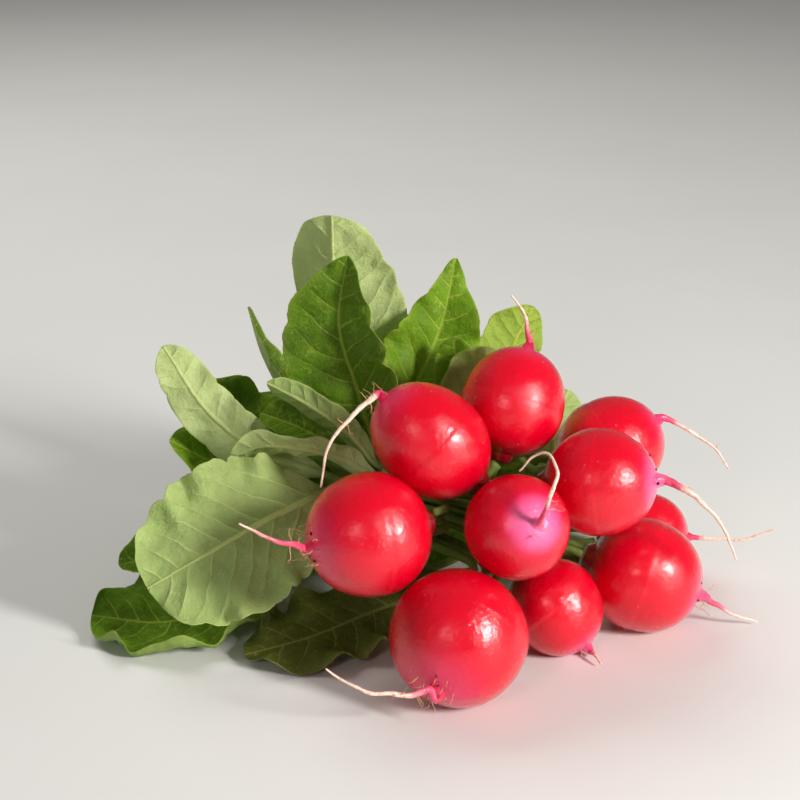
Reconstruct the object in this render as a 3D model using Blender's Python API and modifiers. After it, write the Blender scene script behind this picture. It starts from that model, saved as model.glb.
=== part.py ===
"""A bunch of ten red radishes lying on a table, its leaf stalks held together by a rubber band.

Metres, +Z up. +X is to the right and -Y to the front. The tables below are in millimetres, in the bunch's
own frame, whose origin is on the table in front of the middle radishes. An empty then moves the bunch so
that the scene's origin is under the middle of it.
"""

import math

import bmesh
import bpy
import numpy as np
from mathutils import Vector

MM = 0.001
UP = np.array([0.0, 0.0, 1.0])

# ---- driving dimensions, in millimetres ------------------------------------------------------------------
MIDDLE_OF_BUNCH = (13.9, 57.7, 0.0)  # the point of the bunch's own frame that becomes the scene's origin

TIE_AT = np.array([-2.0, 54.0, 46.0])  # the middle of the rubber band
TIE_AXIS = np.array([-0.84, 0.44, 0.31])  # the way the stalks leave it
STALK_PITCH = 3.9  # the spacing of the stalks where the band packs them
STALK_WIDTH = 2.6
LOOSE_SPREAD = 0.95  # how far off the middle of its crown a leaf outside the band grows, in pitches
CROWN_REACH = 6.0  # how far a stalk runs on from its crown before it turns
LEAN = 1.0  # how much it already leans the way it will turn
STALK_REACH = 7.0  # how far it runs straight, to each side of the band

CROWN_WIDTH = 9.0  # the blunt top of a radish, which its leaves grow from
CROWN_HEIGHT = 3.0
CROWN_GAP = 1.4  # between the crown and a stalk's foot
ROOT_TIP = 0.3  # the radius at the end of a tap root
TABLE_HEIGHT = 0.0  # a radish that would reach lower is pressed flat where it lies on the table
BULB_RINGS = 9
BULB_FULLNESS = 1.02  # a ring's corners stand out by this, so that its flats don't lose the bulb's volume
BULB_BEVEL_RESOLUTION = 5

BLADE_THICKNESS = 0.9
STALK_STATIONS = 10  # rows of faces along a leaf's stalk
BLADE_STATIONS = 7  # and along its blade
LEAF_COLUMNS = 4  # faces across a leaf
EDGE_THICKNESS = 0.4  # a stalk's thickness at its two edges, as a share of its middle

BAND_WIDTH = 4.5
BAND_THICKNESS = 1.2
BAND_INSIDE = (12.8, 11.2)  # the half widths of its hole, across the pack and up
BAND_SIDES = 24

# half the width of a blade as a share of its widest, from its foot, at 0, to its tip, at 1
OUTLINES = {
    "spoon": ((0, 0.07), (0.12, 0.17), (0.3, 0.34), (0.45, 0.66), (0.62, 0.96), (0.75, 1), (0.88, 0.83),
              (0.96, 0.5), (1, 0.16)),
    "round": ((0, 0.06), (0.08, 0.36), (0.2, 0.7), (0.35, 0.92), (0.55, 1), (0.75, 0.92), (0.9, 0.66),
              (0.97, 0.36), (1, 0.16)),
    "egg": ((0, 0.08), (0.1, 0.5), (0.25, 0.85), (0.45, 1), (0.6, 0.93), (0.72, 0.78), (0.84, 0.54),
            (0.93, 0.3), (1, 0.1)),
    "spear": ((0, 0.08), (0.1, 0.45), (0.25, 0.85), (0.4, 1), (0.55, 0.88), (0.71, 0.64), (0.84, 0.38),
              (0.93, 0.2), (1, 0.08)),
    "strap": ((0, 0.12), (0.12, 0.45), (0.3, 0.82), (0.5, 1), (0.75, 0.95), (0.9, 0.74), (0.97, 0.45),
              (1, 0.16)),
}

# ---- the radishes --------------------------------------------------------------------------------------
# centre, the way the root end points, equator radius, half length, width of the root at the bulb, and the
# root's route. stalks: a point that its leaf stalks pass on their way to the band.
RADISHES = {
    "radish_front": dict(
        centre=(17.9, -11.0, 20.8), points=(-0.33, -0.83, -0.46), radius=21.6, half=20.9, root_width=3.2,
        stalks=[(8, 39, 34)],
        root=[(9, -30, 13.5), (3, -33, 13), (-7, -35, 15), (-15, -35, 18), (-22, -33, 22)]),
    "radish_left": dict(
        centre=(-9.9, 0.0, 50.7), points=(-0.89, -0.45, 0.0), radius=19.3, half=19.4, root_width=3.0,
        stalks=[(12, 28, 47)], root=[(-32, -13, 53.5), (-39, -17, 57), (-48, -18, 63)]),
    "radish_upper_left": dict(
        centre=(9.4, 22.0, 73.6), points=(-0.73, 0.03, 0.68), radius=16.7, half=20.4, root_width=2.8,
        root=[(-9, 18, 88.5), (-16, 13, 84), (-22, 8, 77), (-24, 7, 64)]),
    "radish_top": dict(
        centre=(37.0, 45.0, 78.2), points=(0.27, 0.42, 0.87), radius=16.6, half=18.0, root_width=2.8,
        root=[(41.5, 52, 99), (41, 54, 105), (36, 55, 111)]),
    "radish_middle": dict(
        centre=(36.6, 5.0, 51.2), points=(0.31, -0.84, 0.45), radius=16.2, half=16.1, root_width=2.2,
        root=[(44, -14, 67), (47, -11, 76), (45, -6, 80), (40, -3, 78), (36, -1, 73)]),
    "radish_upper_right": dict(
        centre=(64.3, 26.0, 57.6), points=(0.97, -0.22, 0.13), radius=16.9, half=17.9, root_width=3.4,
        stalks=[(27, 39, 46)], root=[(88, 19, 59), (96, 16, 54), (102, 14, 47), (107, 14, 36)]),
    "radish_back_upper": dict(
        centre=(71.8, 66.0, 54.0), points=(0.87, 0.17, 0.47), radius=16.9, half=18.4, root_width=2.6,
        root=[(93, 69, 62), (101, 68, 58), (108, 66, 53), (112, 65, 46)]),
    "radish_back_lower": dict(
        centre=(86.6, 76.5, 17.0), points=(1.0, -0.02, -0.07), radius=14.4, half=14.8, root_width=2.2,
        root=[(107, 76, 15.5), (118, 75, 15), (131, 73, 20)]),
    "radish_right": dict(
        centre=(81.8, 40.0, 18.0), points=(0.94, -0.16, -0.29), radius=18.7, half=19.1, root_width=3.0,
        stalks=[(32, 50, 33)], root=[(104, 37, 9.5), (112, 38, 4.5), (120, 39, 1.2)]),
    "radish_small": dict(
        centre=(50.9, 23.0, 14.5), points=(0.62, -0.36, -0.70), radius=15.1, half=15.9, root_width=2.6,
        root=[(63.0, 13, 2.2), (64.5, 9, 1.2)]),
}

# ---- the leaves ----------------------------------------------------------------------------------------
# of: the radish it grows from. tied: its place in the band's pack, (row from the top, column from the
# front); a leaf with none slipped out of the band. route: the middle rib beyond the band, or beyond the
# crown. faces: the way the upper side looks, at the middle of the blade. blade, width: of the blade.
# fold, curl: the angles by which the two halves rise from the rib, and roll in towards their edges.
ROWS = (4, 5, 6, 5, 4)
LEAVES = {
    "leaf_front_left_large": dict(
        of="radish_left", tied=(2, 0),
        route=[(-19, 48, 48), (-31, 38, 46), (-46, 28, 42), (-64, 20, 34), (-81, 16, 25)],
        faces=(-0.12, 0.80, -0.55), blade=68, width=52, fold=0.05, curl=-0.35, outline="round"),
    "leaf_ground_left": dict(
        of="radish_front", tied=(4, 0), route=[(-28, 56, 32), (-48, 46, 12), (-76, 36, 3), (-103, 36, 5)],
        faces=(0.05, -0.15, 0.98), blade=66, width=54, fold=0.05, curl=0.15, outline="round"),
    "leaf_ground_front": dict(
        of="radish_front", route=[(17, 27, 24), (7, 36, 13), (-10, 32, 8), (-30, 20, 5), (-50, 12, 3)],
        faces=(-0.1, -0.25, 0.95), blade=76, width=38, fold=0.05, curl=0.1, outline="round"),
    "leaf_ground_left_small": dict(
        of="radish_front", tied=(4, 1), route=[(-32, 63, 35), (-58, 66, 22), (-80, 66, 14), (-97, 61, 12)],
        faces=(0.1, -0.3, 0.95), blade=54, width=26, fold=0.15, curl=0.1, outline="round"),
    "leaf_tongue": dict(
        of="radish_left", tied=(3, 0), route=[(-30, 58, 49), (-48, 60, 55), (-65, 62, 69), (-79, 66, 90)],
        faces=(-0.1, 0.95, -0.2), blade=72, width=19, fold=0.1, curl=-0.2, outline="strap"),
    "leaf_folded": dict(
        of="radish_left", tied=(1, 0), route=[(-18, 52, 55), (-30, 46, 61), (-46, 46, 62), (-56, 48, 57)],
        faces=(0.1, 0.9, 0.4), blade=58, width=13, fold=0.1, curl=0.3, outline="strap"),
    "leaf_small_front": dict(
        of="radish_upper_left", tied=(0, 0),
        route=[(-13, 54, 59), (-21, 54, 67), (-32, 56, 74), (-44, 58, 80)],
        faces=(0.1, 0.9, 0.4), blade=48, width=12, fold=0.1, curl=0.2, outline="strap"),
    "leaf_tall_front": dict(
        of="radish_upper_left", tied=(0, 1),
        route=[(-10, 60, 62), (-14, 62, 76), (-20, 63, 98), (-17, 60, 123)],
        faces=(-0.45, -0.88, 0.1), blade=72, width=44, fold=0.35, curl=0.1, outline="egg"),
    "leaf_tall_back": dict(
        of="radish_top", tied=(0, 2), route=[(-12, 74, 63), (-13, 84, 80), (-22, 90, 106), (-23, 88, 129)],
        faces=(0.34, 0.94, 0.1), blade=74, width=42, fold=0.25, curl=0.1, outline="round"),
    "leaf_pointed": dict(
        of="radish_top", tied=(0, 3), route=[(-3, 69, 60), (5, 78, 72), (14, 85, 91), (19, 89, 114)],
        faces=(0.1, -0.95, 0.1), blade=62, width=36, fold=0.4, curl=-0.3, outline="spear"),
    "leaf_centre": dict(
        of="radish_upper_left", tied=(1, 1), route=[(-22, 60, 56), (-34, 63, 62), (-47, 66, 66)],
        faces=(0.2, -0.3, 0.9), blade=34, width=20, fold=0.2, curl=0.2),
    "leaf_thin": dict(
        of="radish_upper_right", tied=(1, 2),
        route=[(-24, 70, 57), (-38, 80, 66), (-47, 86, 80), (-52, 88, 97)],
        faces=(0.6, -0.5, 0.4), blade=58, width=14, fold=0.8, curl=0.2, outline="spear"),
    "leaf_upright_back": dict(
        of="radish_upper_right", tied=(1, 3),
        route=[(-17, 78, 58), (-22, 94, 70), (-24, 104, 84), (-22, 108, 97)],
        faces=(0.1, 0.9, 0.4), blade=52, width=30, fold=0.2, curl=0.1, outline="round"),
    "leaf_behind_top": dict(
        of="radish_upper_right", tied=(1, 4), route=[(-4, 65, 52), (9, 64, 59), (22, 66, 74), (33, 67, 88)],
        faces=(-0.2, 0.95, 0.2), blade=42, width=21, fold=0.2, curl=0.1),
    "leaf_dark_left": dict(
        of="radish_middle", tied=(2, 1), route=[(-30, 68, 50), (-46, 76, 55), (-60, 82, 61), (-71, 86, 69)],
        faces=(0.3, -0.5, 0.8), blade=58, width=30, fold=0.2, curl=0.1, outline="round"),
    "leaf_back_left_high": dict(
        of="radish_middle", tied=(2, 2),
        route=[(-30, 79, 50), (-46, 95, 53), (-60, 108, 47), (-68, 119, 36)],
        faces=(0.1, -0.1, 1.0), blade=56, width=40, fold=0.15, curl=-0.2, outline="round"),
    "leaf_back_high": dict(
        of="radish_small", tied=(2, 3),
        route=[(-24, 85, 53), (-34, 106, 56), (-41, 124, 50), (-46, 139, 38)],
        faces=(0.1, -0.1, 1.0), blade=60, width=42, fold=0.2, curl=-0.2, outline="round"),
    "leaf_back_middle": dict(
        of="radish_back_upper", tied=(2, 4),
        route=[(-15, 87, 52), (-16, 106, 54), (-14, 125, 47), (-12, 141, 35)],
        faces=(0.0, -0.1, 1.0), blade=60, width=42, fold=0.15, curl=-0.2),
    "leaf_back_right_high": dict(
        of="radish_back_upper", tied=(2, 5),
        route=[(-3, 80, 51), (7, 96, 54), (19, 109, 51), (30, 118, 40)],
        faces=(0.0, -0.1, 1.0), blade=62, width=36, fold=0.15, curl=-0.2, outline="round"),
    "leaf_left_bright": dict(
        of="radish_middle", tied=(3, 1), route=[(-34, 66, 44), (-50, 68, 44), (-64, 67, 48), (-78, 64, 57)],
        faces=(0.1, -0.4, 0.9), blade=62, width=30, fold=0.1, curl=0.1, outline="round"),
    "leaf_back_left_low": dict(
        of="radish_small", tied=(3, 2),
        route=[(-34, 78, 42), (-54, 94, 34), (-70, 106, 22), (-80, 114, 10)],
        faces=(-0.2, 0.1, 1.0), blade=66, width=38, fold=0.1, curl=-0.2, outline="round"),
    "leaf_back_low": dict(
        of="radish_right", tied=(3, 3),
        route=[(-28, 86, 42), (-43, 112, 36), (-51, 134, 24), (-55, 150, 10)],
        faces=(0.0, 0.1, 1.0), blade=66, width=38, fold=0.1, curl=-0.2, outline="round"),
    "leaf_back_middle_low": dict(
        of="radish_right", tied=(3, 4),
        route=[(-13, 88, 41), (-13, 110, 34), (-9, 132, 22), (-7, 150, 10)],
        faces=(0.0, 0.1, 1.0), blade=78, width=40, fold=0.1, curl=-0.2, outline="round"),
    "leaf_ground_back_left": dict(
        of="radish_front", tied=(4, 2), route=[(-36, 72, 34), (-58, 80, 20), (-76, 86, 6), (-92, 90, 1.2)],
        faces=(-0.2, 0.0, 1.0), blade=54, width=36, fold=0.1, curl=-0.1),
    "leaf_ground_back": dict(
        of="radish_small", tied=(4, 3),
        route=[(-18, 82, 39), (-26, 101, 22), (-30, 121, 6), (-30, 141, 1.2)],
        faces=(0.0, 0.1, 1.0), blade=68, width=40, fold=0.1, curl=-0.1, outline="round"),
    "leaf_beside_top": dict(
        of="radish_top", route=[(31, 48, 55), (28, 64, 56), (21, 73, 67), (18, 73, 91)],
        faces=(-0.1, -0.95, 0.2), blade=34, width=16, fold=0.2, curl=0.0, outline="round"),
    "leaf_back_right": dict(
        of="radish_back_upper", route=[(40, 70, 50), (34, 82, 62), (38, 91, 79), (46, 95, 95)],
        faces=(-0.3, 0.8, 0.2), blade=42, width=26, fold=0.1, curl=0.0, outline="round"),
    "leaf_far_right": dict(
        of="radish_back_lower", route=[(57, 88, 30), (55, 99, 45), (60, 104, 61)],
        faces=(-0.2, 0.8, 0.4), blade=36, width=22, fold=0.1, curl=0.0, outline="round"),
    "leaf_ground_right": dict(
        of="radish_back_lower", route=[(59, 90, 14), (60, 108, 15), (68, 124, 7), (77, 138, 1.2)],
        faces=(0.0, 0.1, 1.0), blade=54, width=34, fold=0.1, curl=-0.1, outline="round"),
    "leaf_ground_far_right": dict(
        of="radish_back_lower",
        route=[(56, 73, 13), (43, 84, 13), (36, 102, 13), (35, 120, 6), (38, 137, 1.2)],
        faces=(0.0, 0.1, 1.0), blade=62, width=34, fold=0.1, curl=-0.1, outline="round"),
    "leaf_ground_middle": dict(
        of="radish_right", route=[(42, 52, 22), (26, 70, 18), (14, 92, 8), (8, 114, 1.2)],
        faces=(0.0, 0.1, 1.0), blade=62, width=38, fold=0.1, curl=-0.1),
    "leaf_back_short": dict(
        of="radish_back_lower", route=[(52, 78, 44), (36, 86, 38), (18, 94, 32)],
        faces=(0.0, -0.95, 0.3), blade=36, width=26, fold=0.1, curl=0.1, outline="round"),
    "leaf_under_middle": dict(
        of="radish_upper_right", route=[(29, 49, 28), (22, 63, 25), (-5, 77, 9)],
        faces=(0.0, -0.6, 0.8), blade=44, width=28, fold=0.1, curl=0.1, outline="round"),
    "leaf_under_left": dict(
        of="radish_back_upper", route=[(12, 54, 15), (-8, 59, 15), (-35, 74, 13)],
        faces=(0.0, -0.5, 0.85), blade=44, width=22, fold=0.1, curl=0.1, outline="round"),
}


def unit(values):
    values = np.array(values, float)
    return values / np.linalg.norm(values)


def smooth_route(points):
    """Many points, evenly spaced, on a smooth curve through the given ones (a centripetal spline)."""
    points = np.array(points, float)
    padded = np.vstack([2 * points[0] - points[1], points, 2 * points[-1] - points[-2]])
    dense = []
    for p0, p1, p2, p3 in zip(padded, padded[1:], padded[2:], padded[3:]):
        t1 = math.sqrt(np.linalg.norm(p1 - p0))
        t2 = t1 + math.sqrt(np.linalg.norm(p2 - p1))
        t3 = t2 + math.sqrt(np.linalg.norm(p3 - p2))
        for t in np.linspace(t1, t2, 16, endpoint=False):
            a1 = ((t1 - t) * p0 + t * p1) / t1
            a2 = ((t2 - t) * p1 + (t - t1) * p2) / (t2 - t1)
            a3 = ((t3 - t) * p2 + (t - t2) * p3) / (t3 - t2)
            b1 = ((t2 - t) * a1 + t * a2) / t2
            b2 = ((t3 - t) * a2 + (t - t1) * a3) / (t3 - t1)
            dense.append(((t2 - t) * b1 + (t - t1) * b2) / (t2 - t1))
    return np.array(dense + [points[-1]])


def walk(route, distances):
    """The points of a route at these distances along it."""
    along = np.append(0, np.cumsum(np.linalg.norm(np.diff(route, axis=0), axis=1)))
    return np.stack([np.interp(distances, along, route[:, k]) for k in range(3)], axis=1)


def length_of(route):
    return float(np.linalg.norm(np.diff(route, axis=0), axis=1).sum())


def turn_onto(vector, was, now):
    """Turn a vector as the direction `was` turns onto `now` by the shortest way."""
    return np.array(Vector(was).rotation_difference(Vector(now)) @ Vector(vector))


def put_in(obj, collection, parent, material):
    collection.objects.link(obj)
    obj.parent = parent
    obj.data.materials.append(material)
    return obj


def make_material(name, colour, roughness, metallic=0.0):
    material = bpy.data.materials.new(name)
    material.use_nodes = True
    shader = material.node_tree.nodes["Principled BSDF"]
    shader.inputs["Base Color"].default_value = (*colour, 1.0)
    shader.inputs["Roughness"].default_value = roughness
    shader.inputs["Metallic"].default_value = metallic
    material.diffuse_color = (*colour, 1.0)
    return material


def shade_smooth(mesh, sharp_angle):
    mesh.shade_smooth()
    mesh.set_sharp_from_angle(angle=sharp_angle)


# ---- radishes ------------------------------------------------------------------------------------------
def crown_of(radish):
    """The middle of a radish's blunt top."""
    return np.array(radish["centre"]) - unit(radish["points"]) * (radish["half"] + CROWN_HEIGHT * 0.6)


def radish_rings(radish):
    """Points down a radish, from its crown to the tip of its root, and the radius at each of them."""
    axis = unit(radish["points"])
    half, radius = radish["half"], radish["radius"]
    crown, neck = CROWN_WIDTH / 2, radish["root_width"] / 2
    points = [crown_of(radish)]
    radii = [crown]
    for k in range(BULB_RINGS):
        angle = math.pi * (k + 0.75) / (BULB_RINGS + 0.4)
        along = -half * math.cos(angle)
        bulb = radius * BULB_FULLNESS * math.sin(angle)
        least = crown if along < 0 else neck * 1.15
        points.append(np.array(radish["centre"]) + axis * along)
        radii.append(math.hypot(bulb, least))
    points.append(np.array(radish["centre"]) + axis * (half + neck * 1.5))
    radii.append(neck)
    root = smooth_route([points[-1]] + radish["root"])
    stations = len(radish["root"]) + 2
    distances = np.linspace(0, length_of(root), stations + 1)[1:]
    for k, point in enumerate(walk(root, distances), 1):
        points.append(point)
        radii.append(neck + (ROOT_TIP - neck) * (k / stations) ** 0.7)
    return points, radii


def add_radish(name, radish, collection, parent, material):
    """A radish as one tube of changing width, made a mesh and flattened where it lies on the table."""
    points, radii = radish_rings(radish)
    curve = bpy.data.curves.new(name + "_curve", "CURVE")
    curve.dimensions = "3D"
    curve.bevel_depth = MM
    curve.bevel_resolution = BULB_BEVEL_RESOLUTION
    curve.use_fill_caps = True
    spline = curve.splines.new("POLY")
    spline.points.add(len(points) - 1)
    for control, point, radius in zip(spline.points, points, radii):
        control.co = (*(point * MM), 1.0)
        control.radius = radius
    rough = bpy.data.objects.new(name + "_rough", curve)
    collection.objects.link(rough)
    graph = bpy.context.evaluated_depsgraph_get()
    mesh = bpy.data.meshes.new_from_object(rough.evaluated_get(graph))
    mesh.name = name
    bpy.data.objects.remove(rough)
    bpy.data.curves.remove(curve)

    shape = bmesh.new()
    shape.from_mesh(mesh)
    bmesh.ops.remove_doubles(shape, verts=shape.verts, dist=0.00001)
    everything = shape.verts[:] + shape.edges[:] + shape.faces[:]
    bmesh.ops.bisect_plane(
        shape, geom=everything, plane_co=(0, 0, TABLE_HEIGHT * MM), plane_no=(0, 0, -1), clear_outer=True)
    bmesh.ops.holes_fill(shape, edges=[edge for edge in shape.edges if edge.is_boundary])
    bmesh.ops.recalc_face_normals(shape, faces=shape.faces)
    shape.to_mesh(mesh)
    shape.free()
    shade_smooth(mesh, math.radians(50))
    return put_in(bpy.data.objects.new(name, mesh), collection, parent, material)


# ---- leaves --------------------------------------------------------------------------------------------
def place_in_pack(tied):
    """How far a stalk's place in the pack is from the middle of the band."""
    row, column = tied
    across = unit(np.cross(TIE_AXIS, UP))
    above = unit(np.cross(across, TIE_AXIS))
    row_height = STALK_PITCH * math.sqrt(0.75)
    right = (column - (ROWS[row] - 1) / 2) * STALK_PITCH
    up = ((len(ROWS) - 1) / 2 - row) * row_height
    return across * right + above * up


def flat_to(vector, out):
    """The part of a vector that lies square to a direction, made one long."""
    return unit(np.array(vector) - np.dot(vector, out) * out)


def leaf_route(leaf):
    """The middle line of a leaf, from its foot on the crown to its tip."""
    radish = RADISHES[leaf["of"]]
    out = -unit(radish["points"])
    along = unit(TIE_AXIS)
    crown = crown_of(radish)
    sisters = [other for other in LEAVES.values() if other["of"] == leaf["of"]]
    packed = [place_in_pack(other["tied"]) for other in sisters if "tied" in other]
    loose = [flat_to(np.array(other["route"][0]) - crown, out) for other in sisters if "tied" not in other]
    rest = [np.array(point, float) for point in leaf["route"]]
    if "tied" in leaf:
        spot = place_in_pack(leaf["tied"])
        spread = spot - sum(packed) / len(packed)
        through_band = [TIE_AT + spot + along * STALK_REACH * share for share in (-1, 0, 1)]
        rest = [np.array(via) + spread for via in radish.get("stalks", [])] + through_band + rest
        toward = unit(rest[0] - spread - crown)
        lean = unit(out + LEAN * toward)
        beside = turn_onto(turn_onto(spread, along, toward), toward, unit(lean + toward))
        at_foot = turn_onto(beside, unit(lean + toward), out)
        if loose:
            apart = sum(loose) * STALK_PITCH / 2
            beside, at_foot = beside - apart, at_foot - apart
    else:
        toward = unit(rest[0] - crown)
        lean = unit(out + LEAN * toward)
        at_foot = flat_to(toward, out) * STALK_PITCH * LOOSE_SPREAD
        beside = at_foot
    foot = crown + out * CROWN_GAP
    return smooth_route([foot + at_foot, foot + lean * CROWN_REACH + beside] + rest)


def leaf_frames(points, faces, start):
    """Along, sideways and upper-side directions at each point, carried both ways from the start point."""
    along = [unit(after - before) for before, after in
             zip([points[0], *points[:-1]], [*points[1:], points[-1]])]
    upper = [None] * len(points)
    upper[start] = unit(np.array(faces) - np.dot(faces, along[start]) * along[start])
    for k in range(start + 1, len(points)):
        upper[k] = turn_onto(upper[k - 1], along[k - 1], along[k])
    for k in range(start - 1, -1, -1):
        upper[k] = turn_onto(upper[k + 1], along[k + 1], along[k])
    return [(a, np.cross(a, u), u) for a, u in zip(along, upper)]


def across_leaf(share, half_width, fold, curl):
    """Sideways and upward offsets across half a leaf that rises at an angle and rolls on as it goes out."""
    if abs(curl) < 0.001:
        curl = 0.001
    outward = (math.sin(fold + curl * share) - math.sin(fold)) / curl
    upward = (math.cos(fold) - math.cos(fold + curl * share)) / curl
    return outward * half_width, upward * half_width


def add_leaf(name, leaf, collection, parent, material):
    """A leaf as a flat grid, laid along its route and given a thick stalk and a thin blade."""
    route = leaf_route(leaf)
    whole = length_of(route)
    stalk = whole - leaf["blade"]
    distances = np.append(np.linspace(0, stalk, STALK_STATIONS + 1)[:-1],
                          np.linspace(stalk, whole, BLADE_STATIONS + 1))
    points = walk(route, distances)
    frames = leaf_frames(points, leaf["faces"], STALK_STATIONS + BLADE_STATIONS // 2)

    shape = bmesh.new()
    bmesh.ops.create_grid(
        shape, x_segments=LEAF_COLUMNS, y_segments=STALK_STATIONS + BLADE_STATIONS, size=1.0)
    mesh = bpy.data.meshes.new(name)
    shape.to_mesh(mesh)
    shape.free()
    obj = put_in(bpy.data.objects.new(name, mesh), collection, parent, material)
    thickness = obj.vertex_groups.new(name="thickness")
    places, shares = zip(*OUTLINES[leaf.get("outline", "spoon")])
    for vertex in mesh.vertices:
        x, y = vertex.co.x, (vertex.co.y + 1) / 2
        station = round(y * (STALK_STATIONS + BLADE_STATIONS))
        blade = (distances[station] - stalk) / leaf["blade"]
        on_blade = max(0.0, min(1.0, blade / 0.2))
        share = np.interp(blade, places, shares) if blade > 0 else 0
        half_width = max(STALK_WIDTH / 2, leaf["width"] / 2 * share)
        outward, upward = across_leaf(
            abs(x), half_width, leaf["fold"] * on_blade, leaf["curl"] * on_blade)
        _, sideways, upper = frames[station]
        vertex.co = (points[station] + sideways * math.copysign(outward, x) + upper * upward) * MM
        round_stalk = 1 - (1 - EDGE_THICKNESS) * x * x
        weight = round_stalk * (1 - on_blade) + on_blade * BLADE_THICKNESS / STALK_WIDTH
        thickness.add([vertex.index], weight, "REPLACE")
    solidify = obj.modifiers.new("thickness", "SOLIDIFY")
    solidify.thickness = STALK_WIDTH * MM
    solidify.offset = 0.0
    solidify.vertex_group = thickness.name
    shade_smooth(mesh, math.radians(50))
    return obj


# ---- rubber band ---------------------------------------------------------------------------------------
def add_band(collection, parent, material):
    """The rubber band: an oval strip around the pack of stalks, given its thickness outwards."""
    along = unit(TIE_AXIS)
    across = unit(np.cross(TIE_AXIS, UP))
    above = unit(np.cross(across, TIE_AXIS))
    shape = bmesh.new()
    bmesh.ops.create_cone(
        shape, cap_ends=False, segments=BAND_SIDES, radius1=1.0, radius2=1.0, depth=BAND_WIDTH)
    for vertex in shape.verts:
        x, y, z = vertex.co
        place = TIE_AT + across * x * BAND_INSIDE[0] + above * y * BAND_INSIDE[1] + along * z
        vertex.co = Vector(place * MM)
    bmesh.ops.recalc_face_normals(shape, faces=shape.faces)
    mesh = bpy.data.meshes.new("rubber_band")
    shape.to_mesh(mesh)
    shape.free()
    obj = put_in(bpy.data.objects.new("rubber_band", mesh), collection, parent, material)
    solidify = obj.modifiers.new("thickness", "SOLIDIFY")
    solidify.thickness = BAND_THICKNESS * MM
    solidify.offset = 1.0
    shade_smooth(mesh, math.radians(40))
    return obj


def build():
    for obj in list(bpy.data.objects):
        bpy.data.objects.remove(obj)
    collection = bpy.data.collections.new("radish_bunch")
    bpy.context.scene.collection.children.link(collection)
    frame = bpy.data.objects.new("radish_bunch_frame", None)
    frame.location = -Vector(MIDDLE_OF_BUNCH) * MM
    collection.objects.link(frame)

    red_skin = make_material("red_skin", (0.60, 0.010, 0.040), 0.25)
    green_leaf = make_material("green_leaf", (0.16, 0.27, 0.06), 0.55)
    tan_rubber = make_material("tan_rubber", (0.55, 0.38, 0.18), 0.60)

    for name, radish in RADISHES.items():
        add_radish(name, radish, collection, frame, red_skin)
    for name, leaf in LEAVES.items():
        add_leaf(name, leaf, collection, frame, green_leaf)
    add_band(collection, frame, tan_rubber)


build()
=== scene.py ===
# %% [markdown]
# # A bunch of ten red radishes
# Ten radishes with their leaves on, pulled, rinsed and held together by a rubber band around the stalks.
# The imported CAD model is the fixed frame: it says where every radish and leaf lies, in metres, and its box
# is kept here, so that the finer shapes made below can be measured against it at the end.

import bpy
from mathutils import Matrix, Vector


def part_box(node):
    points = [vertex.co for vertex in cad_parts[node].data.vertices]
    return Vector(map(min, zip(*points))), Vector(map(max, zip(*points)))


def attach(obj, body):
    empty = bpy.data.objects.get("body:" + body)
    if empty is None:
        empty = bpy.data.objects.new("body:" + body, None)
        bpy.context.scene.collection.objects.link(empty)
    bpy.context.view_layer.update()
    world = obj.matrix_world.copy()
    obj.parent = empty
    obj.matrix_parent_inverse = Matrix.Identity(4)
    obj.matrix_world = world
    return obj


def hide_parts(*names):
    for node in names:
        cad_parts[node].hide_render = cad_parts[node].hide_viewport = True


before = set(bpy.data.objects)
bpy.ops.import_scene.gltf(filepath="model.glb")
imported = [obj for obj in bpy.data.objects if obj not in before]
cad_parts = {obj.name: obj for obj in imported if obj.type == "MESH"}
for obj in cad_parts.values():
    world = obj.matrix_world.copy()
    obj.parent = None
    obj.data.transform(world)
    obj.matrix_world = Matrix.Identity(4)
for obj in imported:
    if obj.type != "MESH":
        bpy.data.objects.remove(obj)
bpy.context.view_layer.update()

# %% The tools used below
import math

import bpy
import numpy as np
from mathutils import Vector, noise

MM = 0.001
UP = np.array([0.0, 0.0, 1.0])
MIDDLE_OF_BUNCH = np.array([13.9, 57.7, 0.0])  # taken off every place, so that the bunch stands on its middle

# %% [markdown]
# ## The camera and the light
# The camera comes first, so that every piece can be judged as it is made. A long lens, 85 mm, from just
# over half a metre flattens the bunch a little, as a studio picture of food does. It looks down by 20
# degrees. The key light is a tall soft box on the right, because its long reflection on each wet skin is
# what says "smooth and round". A broad light from above and behind shines through the standing leaves.

# %% Camera
LENS = 85.0
CAMERA_HEIGHT_ANGLE = math.radians(20)
CAMERA_LOOKS_AT = np.array([0.0, 0.0, 95.0])
CAMERA_DISTANCE = 566.67

camera_data = bpy.data.cameras.new("camera")
camera_data.lens = LENS
camera_data.clip_start = 0.01
camera = bpy.data.objects.new("camera", camera_data)
bpy.context.scene.collection.objects.link(camera)
backwards = np.array([0.0, -math.cos(CAMERA_HEIGHT_ANGLE), math.sin(CAMERA_HEIGHT_ANGLE)])
camera.location = (CAMERA_LOOKS_AT - MIDDLE_OF_BUNCH + backwards * CAMERA_DISTANCE) * MM
camera.rotation_euler = (math.pi / 2 - CAMERA_HEIGHT_ANGLE, 0, 0)
bpy.context.scene.camera = camera
print("camera at", [round(value, 4) for value in camera.location])


# %% Soft boxes
def add_soft_box(name, towards, distance, size, power, colour=(1.0, 1.0, 1.0)):
    """A rectangular lamp that looks at the middle of the bunch from a direction."""
    data = bpy.data.lights.new(name, "AREA")
    data.shape = "RECTANGLE"
    data.size, data.size_y = size
    data.energy = power
    data.color = colour
    lamp = bpy.data.objects.new(name, data)
    bpy.context.scene.collection.objects.link(lamp)
    aim = Vector((0, 0, 0.05))
    direction = Vector(towards).normalized()
    lamp.location = aim + direction * distance
    lamp.rotation_euler = direction.to_track_quat("Z", "Y").to_euler()
    return lamp


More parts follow.
